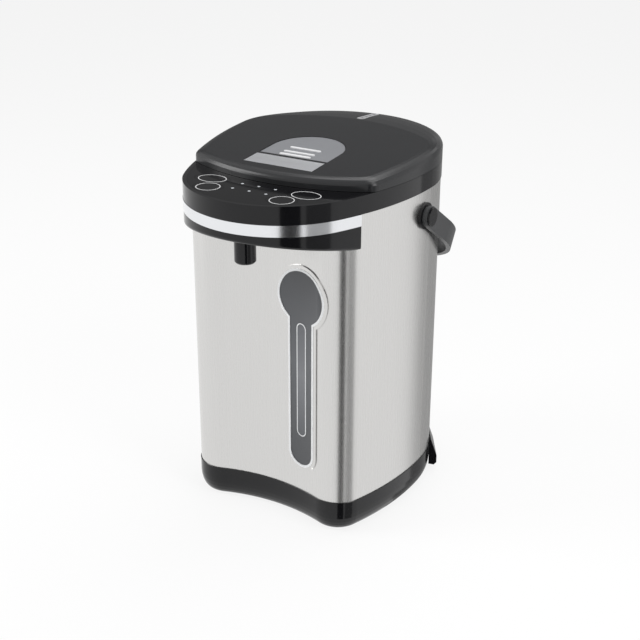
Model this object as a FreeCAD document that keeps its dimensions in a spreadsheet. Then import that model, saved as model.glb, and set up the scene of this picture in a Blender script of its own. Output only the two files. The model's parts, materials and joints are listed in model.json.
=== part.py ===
"""An electric thermo pot, in millimetres, +Z up, its front with the beak towards -Y.

Plan shapes are drawn about the pot's own upright axis. At the end every piece is moved by one
shift, so that the origin lies under the middle of the whole pot, on the surface it stands on.
"""
import FreeCAD
import Part
import Sketcher
import math
import os

Vector = FreeCAD.Vector
doc = FreeCAD.newDocument("ThermoPot")

# The sizes that drive the model: a name, a value and what it measures.
SIZES = (
    ("body_radius", 118.0, "steel body, round back in plan"),
    ("side_radius", 303.0, "steel body, long side arcs in plan"),
    ("side_angle", 1.55, "where the back arc meets the side arc, degrees"),
    ("corner_radius", 30.4, "steel body, soft front corners in plan"),
    ("front_radius", 189.0, "steel body, hollow front in plan"),
    ("front_reach", 118.1, "middle of the hollow front, from the pot's axis"),
    ("steel_wall", 0.8, "steel body, sheet"),
    ("collar_proud", 0.8, "collar and base, how far they stand out from the steel"),
    ("collar_wall", 2.8, "collar and lip, wall"),
    ("beak_reach", 192.9, "tip of the beak, from the pot's axis"),
    ("foot_height", 2.0, "rubber foot under the base"),
    ("foot_radius", 9.0, "rubber foot"),
    ("base_top", 36.5, "top of the base and lower edge of the steel"),
    ("base_wall", 3.0, "base housing, wall"),
    ("base_round", 20.0, "height of the rounding under the base"),
    ("base_inset", 9.0, "depth of the rounding under the base"),
    ("steel_top", 352.7, "upper edge of the steel, under the collar"),
    ("collar_top", 371.2, "seam between collar and lid"),
    ("deck_thick", 3.5, "collar, top plate"),
    ("skirt_depth", 7.0, "collar, skirt inside the steel"),
    ("band_height", 11.5, "bright band under the beak's collar"),
    ("band_thick", 1.2, "bright band, strip"),
    ("lip_depth", 23.6, "lip under the bright band, at the steel"),
    ("lip_angle", 11.3, "lip's underside, climb towards the tip, degrees"),
    ("trim_end", 111.0, "ends of the band and lip at the sides, from the pot's axis"),
    ("lip_round", 4.0, "lip, lower edge rounding"),
    ("mouth_radius", 88.5, "mouth of the pot through the collar"),
    ("neck_wall", 6.0, "collar, ring round the mouth"),
    ("pot_radius", 92.0, "inner pot, outside"),
    ("pot_wall", 1.0, "inner pot, sheet"),
    ("pot_floor", 85.0, "inner pot, underside"),
    ("pot_round", 12.0, "inner pot, floor rounding"),
    ("pot_flange", 3.0, "inner pot, width of its rim"),
    ("seal_thick", 2.0, "pot seal under the collar's neck"),
    ("lid_gap", 0.3, "running gap under the lid"),
    ("lid_front_reach", 123.0, "lid's front edge, from the pot's axis"),
    ("lid_front_radius", 217.0, "lid, front edge in plan"),
    ("lid_corner", 14.0, "lid, front corners in plan"),
    ("lid_wall", 2.6, "lid cover, wall"),
    ("lid_front_rim", 9.0, "lid's upright rim above the seam, at the front"),
    ("lid_rear_rim", 20.0, "lid's upright rim above the seam, at the back"),
    ("lid_round", 4.0, "where the lid's rim starts to round over, under its top"),
    ("lid_front_crown", 12.5, "lid's top above the seam, at the front"),
    ("lid_rear_crown", 24.0, "lid's top above the seam, at the back of its crown"),
    ("crown_side", 10.0, "width of the lid's shoulder at its sides"),
    ("crown_front", 7.0, "width of the lid's shoulder at its front"),
    ("crown_reach", 62.0, "back of the crown, from the pot's axis"),
    ("crown_radius", 172.0, "back of the crown in plan"),
    ("crown_corner", 34.0, "back corners of the crown in plan"),
    ("hinge_reach", 109.5, "lid hinge, behind the pot's axis"),
    ("hinge_lift", 3.0, "lid hinge, above the seam"),
    ("hinge_pin_radius", 2.5, "lid hinge pin"),
    ("pin_clearance", 0.05, "running fit round pins"),
    ("ear_inner", 20.0, "hinge ear, inner face from the middle"),
    ("ear_thick", 6.0, "hinge ear"),
    ("bay_half", 48.0, "hinge bay in the collar, half width"),
    ("bay_depth", 11.0, "hinge bay, depth under the seam"),
    ("bay_front", 8.0, "hinge bay, from the hinge forwards"),
    ("play", 0.4, "gap between pieces that move past each other"),
    ("pivot_reach", -10.0, "bail pivots, from the pot's axis"),
    ("pivot_height", 326.0, "bail pivots, above the surface"),
    ("pivot_pin_radius", 5.0, "bail pivot pin"),
    ("boss_radius", 14.0, "bail pivot boss on the steel"),
    ("boss_thick", 2.4, "bail pivot boss"),
    ("rest_angle", 33.0, "bail at rest, below level, degrees"),
    ("strap_width", 22.0, "bail, width of the strap"),
    ("strap_thick", 5.0, "bail, thickness of its arms"),
    ("grip_thick", 5.0, "bail, thickness of its grip"),
    ("grip_reach", 171.0, "bail, outside of the grip from its pivots"),
    ("grip_radius", 126.0, "bail, outside of the grip in its own plane"),
    ("grip_corner", 60.0, "bail, outside corners in its own plane"),
    ("cap_radius", 9.5, "bail pivot cap"),
    ("cap_thick", 2.0, "bail pivot cap"),
    ("spout_reach", 162.0, "spout, from the pot's axis"),
    ("spout_radius", 10.8, "spout, outside"),
    ("spout_bore", 6.0, "spout, bore radius"),
    ("spout_bottom", 302.0, "spout mouth, above the surface"),
    ("panel_thick", 1.6, "control panel, glossy sheet"),
    ("panel_edge", 4.5, "collar rim left round the panel"),
    ("panel_ledge", 5.0, "ledge under the control panel"),
    ("panel_back", 126.5, "control panel, back edge from the pot's axis"),
    ("key_gap", 0.3, "gap round a key"),
    ("key_travel", 0.8, "key travel"),
    ("big_key_half", 19.5, "upper keys, half length"),
    ("big_key_deep", 11.7, "upper keys, half depth"),
    ("small_key_half", 15.6, "lower keys, half length"),
    ("small_key_deep", 12.2, "lower keys, half depth"),
    ("big_key_offset", 54.0, "upper keys, from the middle"),
    ("big_key_reach", 137.0, "upper keys, from the pot's axis"),
    ("small_key_offset", 42.0, "lower keys, from the middle"),
    ("small_key_reach", 161.5, "lower keys, from the pot's axis"),
    ("stem_radius", 3.0, "key stem"),
    ("lamp_radius", 1.5, "lamp lens"),
    ("lamp_pitch", 19.0, "between lamp columns"),
    ("lamp_back", 136.0, "upper lamp row, from the pot's axis"),
    ("lamp_front", 153.0, "lower lamp row, from the pot's axis"),
    ("board_depth", 9.5, "control board, top face under the seam"),
    ("board_thick", 1.6, "circuit boards"),
    ("switch_height", 3.4, "key switch on the control board"),
    ("gauge_offset", 46.5, "level gauge, from the middle"),
    ("gauge_half", 11.0, "level gauge, half width of its stem"),
    ("gauge_bottom", 92.5, "level gauge, lower end"),
    ("gauge_head", 23.0, "level gauge, radius of its round head"),
    ("gauge_head_height", 266.0, "level gauge, middle of its head"),
    ("gauge_rim", 2.2, "level gauge frame, width"),
    ("gauge_proud", 1.2, "level gauge frame, how far it stands out"),
    ("scale_half", 6.0, "sight slot in the gauge window, half width"),
    ("scale_low", 119.0, "sight slot, lower end"),
    ("scale_high", 239.0, "sight slot, upper end"),
    ("tube_radius", 4.5, "sight tube"),
    ("tube_wall", 1.0, "sight tube, glass"),
    ("tube_reach", 112.0, "sight tube, from the pot's axis"),
    ("tube_low", 84.0, "sight tube, lower end"),
    ("tube_top", 318.0, "sight tube, upper end"),
    ("plate_half", 39.5, "latch plate and press pad, half width"),
    ("plate_setback", 20.0, "latch plate, behind the lid's front edge"),
    ("plate_depth", 25.0, "latch plate, front to back"),
    ("plate_thick", 1.2, "latch plate"),
    ("pad_gap", 5.0, "between latch plate and press pad"),
    ("pad_run", 26.0, "press pad, straight sides"),
    ("pad_thick", 2.4, "press pad"),
    ("pad_pin_run", 57.0, "press pad, from its front edge to its pin"),
    ("pad_pin_depth", 5.8, "press pad, pin under the lid's top"),
    ("pad_pin_radius", 1.5, "press pad pin"),
    ("bar_length", 36.0, "grip bars"),
    ("bar_width", 3.4, "grip bars"),
    ("bar_height", 0.9, "grip bars"),
    ("vent_length", 42.0, "steam vent insert"),
    ("vent_width", 9.0, "steam vent insert"),
    ("vent_reach", 85.0, "steam vent, behind the pot's axis"),
    ("inlet_angle", 31.0, "power inlet, behind the right side, degrees"),
    ("inlet_width", 44.0, "power inlet hood"),
    ("inlet_reach", 126.0, "power inlet hood, from the pot's axis at its foot"),
    ("inlet_foot", 7.0, "power inlet hood, above the surface"),
)


class Size:
    """A number of the sheet, or numbers worked out from it, with the expression that gives it."""

    def __init__(self, number, text):
        self.number = float(number)
        self.text = text

    def __float__(self):
        return self.number

    def joined(self, sign, other, number, turned=False):
        other_text = other.text if isinstance(other, Size) else repr(float(other))
        first, second = (other_text, self.text) if turned else (self.text, other_text)
        return Size(number, "(%s %s %s)" % (first, sign, second))

    def __add__(self, other):
        return self.joined("+", other, self.number + float(other))

    def __sub__(self, other):
        return self.joined("-", other, self.number - float(other))

    def __mul__(self, other):
        return self.joined("*", other, self.number * float(other))

    def __truediv__(self, other):
        return self.joined("/", other, self.number / float(other))

    def __radd__(self, other):
        return self.joined("+", other, float(other) + self.number, True)

    def __rsub__(self, other):
        return self.joined("-", other, float(other) - self.number, True)

    def __rmul__(self, other):
        return self.joined("*", other, float(other) * self.number, True)

    def __neg__(self):
        return Size(-self.number, "(0 - %s)" % self.text)


class Sizes:
    """Every size of the sheet, by its name."""


sheet = doc.addObject("Spreadsheet::Sheet", "Sizes")
size = Sizes()
for row, (alias, number, meaning) in enumerate(SIZES, start=1):
    sheet.set("A%d" % row, meaning)
    sheet.set("B%d" % row, str(number))
    sheet.setAlias("B%d" % row, alias)
    setattr(size, alias, Size(number, "Sizes." + alias))
doc.recompute()


def bind(thing, name, value):
    """Sets a property, bound to the sheet where its value is a Size."""
    if isinstance(value, Size):
        thing.setExpression(name, value.text)
    elif name == "Length":
        thing.Length = float(value)


# Curves of a sketch


class Line:
    """A straight edge between two points of a sketch."""

    def __init__(self, start, end):
        self.start = Vector(float(start[0]), float(start[1]), 0)
        self.end = Vector(float(end[0]), float(end[1]), 0)
        self.radius = None

    def curve(self):
        return Part.LineSegment(self.start, self.end)


class Arc:
    """An arc about a centre, counter-clockwise from one angle to another, in radians."""

    def __init__(self, centre, radius, first, last):
        self.centre = Vector(float(centre[0]), float(centre[1]), 0)
        self.radius = radius
        self.first = first
        self.last = last
        self.start = self.point(first)
        self.end = self.point(last)

    def point(self, angle):
        reach = float(self.radius)
        return self.centre + Vector(reach * math.cos(angle), reach * math.sin(angle), 0)

    def curve(self):
        circle = Part.Circle(self.centre, Vector(0, 0, 1), float(self.radius))
        return Part.ArcOfCircle(circle, self.first, self.last)

    def mirrored(self):
        """The same arc on the other side of the middle."""
        return Arc((-self.centre.x, self.centre.y), self.radius, math.pi - self.last, math.pi - self.first)


class Circle:
    """A whole circle."""

    def __init__(self, centre, radius):
        self.centre = Vector(float(centre[0]), float(centre[1]), 0)
        self.radius = radius
        self.start = None
        self.end = None

    def curve(self):
        return Part.Circle(self.centre, Vector(0, 0, 1), float(self.radius))


class Oval:
    """A whole ellipse that is longer along the sketch's level axis."""

    def __init__(self, centre, half, deep):
        self.centre = Vector(float(centre[0]), float(centre[1]), 0)
        self.half = float(half)
        self.deep = float(deep)
        self.radius = None
        self.start = None
        self.end = None

    def curve(self):
        return Part.Ellipse(self.centre, self.half, self.deep)


def rectangle(left, low, right, high):
    """Four lines round a rectangle."""
    corners = [(left, low), (right, low), (right, high), (left, high)]
    return [Line(corners[i], corners[(i + 1) % 4]) for i in range(4)]


def polygon(points):
    """Lines round a closed row of points."""
    return [Line(points[i], points[(i + 1) % len(points)]) for i in range(len(points))]


def slot(half_length, radius, centre=(0, 0), upright=True):
    """A round-ended slot, along the sketch's upright or its level axis."""
    x, y = float(centre[0]), float(centre[1])
    run, reach = float(half_length), float(radius)
    quarter = math.pi / 2
    if upright:
        return [Arc((x, y + run), radius, 0, math.pi), Arc((x, y - run), radius, math.pi, 2 * math.pi),
                Line((x + reach, y - run), (x + reach, y + run)), Line((x - reach, y - run), (x - reach, y + run))]
    return [Arc((x + run, y), radius, -quarter, quarter), Arc((x - run, y), radius, quarter, 3 * quarter),
            Line((x - run, y + reach), (x + run, y + reach)), Line((x - run, y - reach), (x + run, y - reach))]


def draw(sketch, edges):
    """Puts edges in a sketch, joins the ends that meet and binds each radius that is a Size."""
    meetings = []
    for edge in edges:
        index = sketch.addGeometry(edge.curve(), False)
        for which, point in ((1, edge.start), (2, edge.end)):
            if point is not None:
                meetings.append((index, which, point))
        if isinstance(edge.radius, Size):
            number = sketch.addConstraint(Sketcher.Constraint("Radius", index, float(edge.radius)))
            sketch.setExpression("Constraints[%d]" % number, edge.radius.text)
    for i, (index, which, point) in enumerate(meetings):
        for other, other_which, other_point in meetings[i + 1:]:
            if index != other and point.distanceToPoint(other_point) < 1e-5:
                sketch.addConstraint(Sketcher.Constraint("Coincident", index, which, other, other_which))


# PartDesign pieces


def new_body(label):
    """An empty body with its own name."""
    body = doc.addObject("PartDesign::Body", label)
    body.Label = label
    return body


def sketch_in(body, role, lift, edges):
    """A sketch on one of the body's own planes, lifted along the plane's normal."""
    plane = [item for item in body.Origin.OriginFeatures if item.Role == role][0]
    sketch = body.newObject("Sketcher::SketchObject", body.Name + "_sketch")
    sketch.AttachmentSupport = [(plane, "")]
    sketch.MapMode = "FlatFace"
    if isinstance(lift, Size):
        sketch.setExpression("AttachmentOffset.Base.z", lift.text)
    else:
        sketch.AttachmentOffset = FreeCAD.Placement(Vector(0, 0, lift), FreeCAD.Rotation())
    draw(sketch, edges)
    return sketch


def feature(body, kind, profile):
    """A feature of a body on a sketch, with nothing set yet."""
    item = body.newObject("PartDesign::" + kind, body.Name + "_" + kind.lower())
    item.Profile = profile
    return item


def pad(body, edges, low, high, role="XY_Plane"):
    """Adds the outline from one height of the plane to another."""
    item = feature(body, "Pad", sketch_in(body, role, low, edges))
    bind(item, "Length", high - low)
    doc.recompute()
    return item


def pocket(body, edges, high, low, role="XY_Plane"):
    """Cuts the outline from one height of the plane down to another."""
    before = body.Shape.Volume
    item = feature(body, "Pocket", sketch_in(body, role, high, edges))
    bind(item, "Length", high - low)
    doc.recompute()
    if body.Shape.Volume > before - 1e-3:
        raise ValueError("a pocket of %s cuts nothing" % body.Label)
    return item


def turned(body, edges, kind="Revolution"):
    """Turns a half section about the upright axis of the plane that faces the front."""
    sketch = sketch_in(body, "XZ_Plane", 0, edges)
    item = feature(body, kind, sketch)
    item.ReferenceAxis = (sketch, ["V_Axis"])
    item.Angle = 360
    doc.recompute()
    return item


def rounded(body, radius, chosen, kind="Fillet"):
    """Rounds or bevels the edges that a test chooses on the body's last feature."""
    tip = body.Tip
    names = ["Edge%d" % (i + 1) for i, edge in enumerate(tip.Shape.Edges) if chosen(edge)]
    item = body.newObject("PartDesign::" + kind, body.Name + "_" + kind.lower())
    item.Base = (tip, names)
    bind(item, "Radius" if kind == "Fillet" else "Size", radius)
    doc.recompute()
    return item


def at_height(height):
    """A test for edges that lie level at a height."""
    level = float(height)
    return lambda edge: abs(edge.BoundBox.ZMin - level) < 1e-3 and abs(edge.BoundBox.ZMax - level) < 1e-3


# Plan outlines


def meet(first_centre, first_reach, second_centre, second_reach):
    """The point at given distances from two centres, on the side that lies to the front right."""
    apart = math.dist(first_centre, second_centre)
    along = (first_reach ** 2 - second_reach ** 2 + apart ** 2) / (2 * apart)
    across = math.sqrt(first_reach ** 2 - along ** 2)
    ux = (second_centre[0] - first_centre[0]) / apart
    uy = (second_centre[1] - first_centre[1]) / apart
    options = [(first_centre[0] + along * ux - side * across * uy,
                first_centre[1] + along * uy + side * across * ux) for side in (1, -1)]
    return max(options, key=lambda point: point[0])


def direction(start, end):
    """The angle of the way from one point to another."""
    return math.atan2(end[1] - start[1], end[0] - start[0])


SIDE_TURN = math.radians(float(size.side_angle))
SIDE_REACH = float(size.side_radius - size.body_radius)
SIDE_CENTRE = (-SIDE_REACH * math.cos(SIDE_TURN), -SIDE_REACH * math.sin(SIDE_TURN))


def body_plan(inset):
    """Plan of the steel body, a distance inside its skin."""
    front_centre = (0.0, -float(size.front_reach + size.front_radius))
    corner_centre = meet(SIDE_CENTRE, float(size.side_radius - size.corner_radius),
                         front_centre, float(size.front_radius + size.corner_radius))
    side_turn = direction(SIDE_CENTRE, corner_centre)
    front_turn = direction(front_centre, corner_centre)
    side = Arc(SIDE_CENTRE, size.side_radius - inset, side_turn, SIDE_TURN)
    corner = Arc(corner_centre, size.corner_radius - inset, front_turn - math.pi, side_turn)
    return [Arc((0, 0), size.body_radius - inset, SIDE_TURN, math.pi - SIDE_TURN), side, side.mirrored(),
            corner, corner.mirrored(),
            Arc(front_centre, size.front_radius + inset, front_turn, math.pi - front_turn)]


def beak_tip():
    """Centre and radius of the arc at the tip of the beak, which runs into both sides."""
    outer = float(size.side_radius + size.collar_proud)
    drop = -float(size.beak_reach) - SIDE_CENTRE[1]
    radius = (outer ** 2 - SIDE_CENTRE[0] ** 2 - drop ** 2) / (2 * (drop + outer))
    return (0.0, -float(size.beak_reach) + radius), radius


def collar_plan(inset):
    """Plan of the collar with its beak, a distance inside its skin."""
    tip_centre, tip_radius = beak_tip()
    tip_turn = direction(SIDE_CENTRE, tip_centre)
    side = Arc(SIDE_CENTRE, size.side_radius + size.collar_proud - inset, tip_turn, SIDE_TURN)
    return [Arc((0, 0), size.body_radius + size.collar_proud - inset, SIDE_TURN, math.pi - SIDE_TURN),
            side, side.mirrored(),
            Arc(tip_centre, tip_radius - float(inset), -math.pi - tip_turn, tip_turn)]


def lid_plan(inset):
    """Plan of the lid, a distance inside its rim: the collar's, cut off by a bowed front edge."""
    proud = size.side_radius + size.collar_proud
    front_centre = (0.0, float(size.lid_front_radius - size.lid_front_reach))
    corner_centre = meet(SIDE_CENTRE, float(proud - size.lid_corner),
                         front_centre, float(size.lid_front_radius - size.lid_corner))
    side_turn = direction(SIDE_CENTRE, corner_centre)
    front_turn = direction(front_centre, corner_centre)
    rear = size.body_radius + size.collar_proud - inset
    split = math.atan2(float(size.crown_corner), float(size.crown_reach))
    side = Arc(SIDE_CENTRE, proud - inset, side_turn, SIDE_TURN)
    corner = Arc(corner_centre, size.lid_corner - inset, front_turn, side_turn)
    haunch = Arc((0, 0), rear, SIDE_TURN, split)
    return [haunch, Arc((0, 0), rear, split, math.pi - split), haunch.mirrored(), side.mirrored(),
            corner.mirrored(), Arc(front_centre, size.lid_front_radius - inset, -math.pi - front_turn, front_turn),
            corner, side]


def crown_plan():
    """Plan of the lid's raised crown, inside its shoulder, with an edge for each edge of the lid's plan."""
    proud = size.side_radius + size.collar_proud
    side_radius = proud - size.crown_side
    front_centre = (0.0, float(size.lid_front_radius - size.lid_front_reach))
    front_radius = size.lid_front_radius - size.crown_front
    rear_centre = (0.0, float(size.crown_reach - size.crown_radius))
    corner_centre = meet(SIDE_CENTRE, float(side_radius - size.lid_corner),
                         front_centre, float(front_radius - size.lid_corner))
    haunch_centre = rear_meet(SIDE_CENTRE, float(side_radius - size.crown_corner),
                              rear_centre, float(size.crown_radius - size.crown_corner))
    side_turn = direction(SIDE_CENTRE, corner_centre)
    front_turn = direction(front_centre, corner_centre)
    haunch_turn = direction(SIDE_CENTRE, haunch_centre)
    rear_turn = direction(rear_centre, haunch_centre)
    side = Arc(SIDE_CENTRE, side_radius, side_turn, haunch_turn)
    corner = Arc(corner_centre, size.lid_corner, front_turn, side_turn)
    haunch = Arc(haunch_centre, size.crown_corner, haunch_turn, rear_turn)
    return [haunch, Arc(rear_centre, size.crown_radius, rear_turn, math.pi - rear_turn), haunch.mirrored(),
            side.mirrored(), corner.mirrored(),
            Arc(front_centre, front_radius, -math.pi - front_turn, front_turn), corner, side]


def rear_meet(first_centre, first_reach, second_centre, second_reach):
    """The same as meet, with the plan turned round, for a point to the back right."""
    x, y = meet((first_centre[0], -first_centre[1]), first_reach, (second_centre[0], -second_centre[1]), second_reach)
    return x, -y


# Parts put together from prisms, where a piece follows a curved wall


def prism(name, edges, low, high, role="XY", shift=(0, 0, 0)):
    """A prism on an outline: along Z from low to high, or towards the front from -low to -high."""
    sketch = doc.addObject("Sketcher::SketchObject", name + "_outline")
    if role == "XZ":
        place = FreeCAD.Placement(Vector(*shift) + Vector(0, -float(low), 0), FreeCAD.Rotation(Vector(1, 0, 0), 90))
    elif role == "YZ":
        place = FreeCAD.Placement(Vector(float(low), 0, 0) + Vector(*shift),
                                  FreeCAD.Rotation(Vector(1, 1, 1), 120))
    else:
        place = FreeCAD.Placement(Vector(*shift) + Vector(0, 0, float(low)), FreeCAD.Rotation())
    sketch.Placement = place
    draw(sketch, edges)
    solid = doc.addObject("Part::Extrusion", name)
    solid.Base = sketch
    solid.DirMode = "Normal"
    solid.Solid = True
    reach = high - low
    if isinstance(reach, Size):
        solid.setExpression("LengthFwd", reach.text)
    else:
        solid.LengthFwd = reach
    doc.recompute()
    return solid


def combined(kind, name, base, tool):
    """A boolean of two objects: Cut, Fuse or Common."""
    item = doc.addObject("Part::" + kind, name)
    item.Base = base
    item.Tool = tool
    doc.recompute()
    return item


def merged(name, pieces):
    """Several pieces as one object."""
    item = doc.addObject("Part::MultiFuse", name)
    item.Shapes = pieces
    doc.recompute()
    return item


def drum(name, radius, low, high, centre=(0, 0)):
    """An upright cylinder between two heights."""
    item = doc.addObject("Part::Cylinder", name)
    if isinstance(radius, Size):
        item.setExpression("Radius", radius.text)
    else:
        item.Radius = radius
    reach = high - low
    if isinstance(reach, Size):
        item.setExpression("Height", reach.text)
    else:
        item.Height = reach
    item.Placement.Base = Vector(float(centre[0]), float(centre[1]), float(low))
    return item


def block(name, low, high):
    """A box between two corners."""
    item = doc.addObject("Part::Box", name)
    for side, first, last in zip(("Length", "Width", "Height"), low, high):
        reach = last - first
        if isinstance(reach, Size):
            item.setExpression(side, reach.text)
        else:
            setattr(item, side, reach)
    item.Placement.Base = Vector(*[float(value) for value in low])
    return item


# Places that follow from the sizes, as distances from the pot's axis towards the front.
PLATE_FRONT = size.lid_front_reach - size.plate_setback
PAD_FRONT = PLATE_FRONT - size.plate_depth - size.pad_gap
PAD_STRAIGHT = PAD_FRONT - size.pad_run
PAD_PIN = PAD_FRONT - size.pad_pin_run
HOOK_REACH = float(size.lid_front_reach) - 10.0
HOOK_HALF = 7.0
STEEL_NEAR = size.front_reach - 25.0
STEEL_FAR = size.front_reach + 40.0

NODES = []


def node(item, label=None):
    """Keeps an object as a piece of the pot."""
    if label:
        item.Label = label
    NODES.append(item)
    return item


# Base


def make_base():
    """The housing under the steel, rounded inwards below, open underneath, with screw bosses."""
    base = new_body("base_housing")
    proud = size.collar_proud
    steps = 6
    sections = []
    for step in range(steps + 1):
        turn = math.pi / 2 * step / steps
        lift = size.foot_height + size.base_round * (1 - math.cos(turn))
        inset = size.base_inset * (1 - math.sin(turn)) - proud
        sections.append(sketch_in(base, "XY_Plane", lift, body_plan(inset)))
    loft = base.newObject("PartDesign::AdditiveLoft", "base_rounding")
    loft.Profile = sections[0]
    loft.Sections = sections[1:]
    loft.Ruled = True
    doc.recompute()
    pad(base, body_plan(-proud), size.foot_height + size.base_round, size.base_top)
    mouth = size.base_inset + size.base_wall
    shelf = size.foot_height + 7.0
    pocket(base, body_plan(mouth), shelf, size.foot_height)
    pocket(base, body_plan(size.base_wall + 3.0), size.base_top - size.base_wall, shelf)
    well = size.pot_radius - 14.0
    pocket(base, [Circle((0, 0), well)], size.base_top, size.base_top - size.base_wall)
    for x, y in BASE_SCREWS:
        pad(base, [Circle((x, y), BOSS_RADIUS)], size.foot_height + COVER_THICK + 0.5, size.base_top - size.base_wall / 2)
    for x, y in BASE_SCREWS:
        pocket(base, [Circle((x, y), SCREW_RADIUS)], size.foot_height + 16.0, size.foot_height)
    return node(base)


COVER_THICK = 2.5
BOSS_RADIUS = 4.5
SCREW_RADIUS = 1.6
SCREW_HEAD = 3.4
BASE_SCREWS = [(side * x, y) for side in (-1, 1) for x, y in ((76.0, -92.0), (86.0, 42.0))]
FEET = [(side * x, y) for side in (-1, 1) for x, y in ((62.0, -98.0), (66.0, 64.0))]


def make_bottom_cover():
    """The plate that closes the base, with air slots and countersunk screw holes."""
    cover = new_body("bottom_cover")
    low = size.foot_height + 0.5
    high = low + COVER_THICK
    pad(cover, body_plan(size.base_inset + size.base_wall + 0.3), low, high)
    for x, y in BASE_SCREWS:
        pocket(cover, [Circle((x, y), SCREW_RADIUS + 0.15)], high, low)
        pocket(cover, [Circle((x, y), SCREW_HEAD + 0.15)], low + 1.5, low)
    slots = []
    for place in range(-3, 4):
        slots += slot(14.0, 1.75, (place * 9.0, -30.0))
    pocket(cover, slots, high, low)
    node(cover)
    feet = [drum("foot", size.foot_radius, 0.0, low, foot) for foot in FEET]
    node(merged("rubber_feet", feet))
    screws = []
    for x, y in BASE_SCREWS:
        head = drum("screw_head", SCREW_HEAD, low, low + 1.5, (x, y))
        shank = drum("screw_shank", SCREW_RADIUS, low + 1.5, low + 12.0, (x, y))
        screws.append(merged("screw", [head, shank]))
    node(merged("bottom_screws", screws))


# Steel body and level gauge


def spoon(grow):
    """The gauge's outline seen from the front: a slim stem with a round head."""
    half = size.gauge_half + grow
    head = size.gauge_head + grow
    low = float(size.gauge_bottom + size.gauge_half)
    neck = float(size.gauge_head_height) - math.sqrt(float(head) ** 2 - float(half) ** 2)
    turn = math.atan2(neck - float(size.gauge_head_height), float(half))
    x = float(size.gauge_offset)
    left, right = x - float(half), x + float(half)
    return [Arc((x, low), half, math.pi, 2 * math.pi), Line((right, low), (right, neck)),
            Arc((x, size.gauge_head_height), head, turn, math.pi - turn), Line((left, neck), (left, low))]


def wall_ring(name, outer, inner, low, high):
    """A ring of the body's wall between two insets."""
    return combined("Cut", name, prism(name + "_outside", body_plan(outer), low, high),
                    prism(name + "_inside", body_plan(inner), low, high))


def make_steel():
    """The brushed sheet body, open at the level gauge, the bail pins and behind the beak."""
    shell = wall_ring("steel_sheet", 0.0, size.steel_wall, size.base_top, size.steel_top)
    window = prism("gauge_opening", spoon(0.0), STEEL_NEAR, STEEL_FAR, "XZ")
    pins = doc.addObject("Part::Cylinder", "pin_holes")
    pins.setExpression("Radius", (size.pivot_pin_radius + 0.1).text)
    across = float(size.body_radius) * 1.3
    pins.Height = 2 * across
    pins.Placement = FreeCAD.Placement(Vector(-across, float(size.pivot_reach), float(size.pivot_height)),
                                       FreeCAD.Rotation(Vector(0, 1, 0), 90))
    pipe_gate = block("pipe_gate", (-14.0, -STEEL_FAR, size.steel_top - 24.0), (14.0, -STEEL_NEAR, size.steel_top + 1.0))
    node(combined("Cut", "steel_shell", shell, merged("steel_openings", [window, pins, pipe_gate])))


def make_gauge():
    """The gauge's white frame, its tinted window with a sight slot, and the glass tube behind it."""
    low = size.gauge_bottom - 10.0
    high = size.gauge_head_height + size.gauge_head + 10.0
    frame_ring = combined("Cut", "frame_ring", prism("frame_outside", spoon(size.gauge_rim), STEEL_NEAR, STEEL_FAR, "XZ"),
                          prism("frame_inside", spoon(0.0), STEEL_NEAR - 1.0, STEEL_FAR + 1.0, "XZ"))
    skin = wall_ring("frame_skin", -size.gauge_proud, 0.0, low, high)
    node(combined("Common", "gauge_frame", frame_ring, skin))
    sheet_ring = wall_ring("window_skin", -0.5, size.steel_wall + 1.0, low, high)
    pane = combined("Common", "pane", prism("window_plate", spoon(-0.1), STEEL_NEAR, STEEL_FAR, "XZ"), sheet_ring)
    middle = (size.scale_low + size.scale_high) / 2
    half = (size.scale_high - size.scale_low) / 2 - size.scale_half
    sight = prism("sight_slot", slot(half, size.scale_half, (size.gauge_offset, middle)), STEEL_NEAR,
                  STEEL_FAR, "XZ")
    outer_skin = wall_ring("sight_skin", -1.0, 0.2, low, high)
    node(combined("Cut", "gauge_window", pane, combined("Common", "sight_recess", sight, outer_skin)))
    centre = (size.gauge_offset, -size.tube_reach)
    tube = combined("Cut", "sight_tube", drum("tube_outside", size.tube_radius, size.tube_low, size.tube_top, centre),
                    drum("tube_bore", size.tube_radius - size.tube_wall, size.tube_low - 1.0,
                         size.tube_top + 1.0, centre))
    node(tube)
    grips = []
    for name, low_end, high_end in (("lower_elbow", size.tube_low - 14.0, size.tube_low + 6.0),
                                    ("upper_elbow", size.tube_top - 6.0, size.tube_top + 12.0)):
        sleeve = drum(name + "_sleeve", size.tube_radius + 2.5, low_end, high_end, centre)
        across = doc.addObject("Part::Cylinder", name + "_branch")
        across.setExpression("Radius", size.tube_radius.text)
        across.Height = float(size.tube_reach - size.pot_radius) + 12.0
        across.Placement = FreeCAD.Placement(Vector(float(centre[0]), float(centre[1]), float(low_end + high_end) / 2),
                                             FreeCAD.Rotation(Vector(1, 0, 0), -90))
        seat = drum(name + "_seat", size.tube_radius, size.tube_low, size.tube_top, centre)
        pot_side = drum(name + "_stop", size.pot_radius + 0.1, size.tube_low - 24.0, size.tube_top + 22.0)
        grips.append(combined("Cut", name, merged(name + "_solid", [sleeve, across]),
                              merged(name + "_rooms", [seat, pot_side])))
    node(merged("tube_elbows", grips))


# Collar, band, lip and spout


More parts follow.
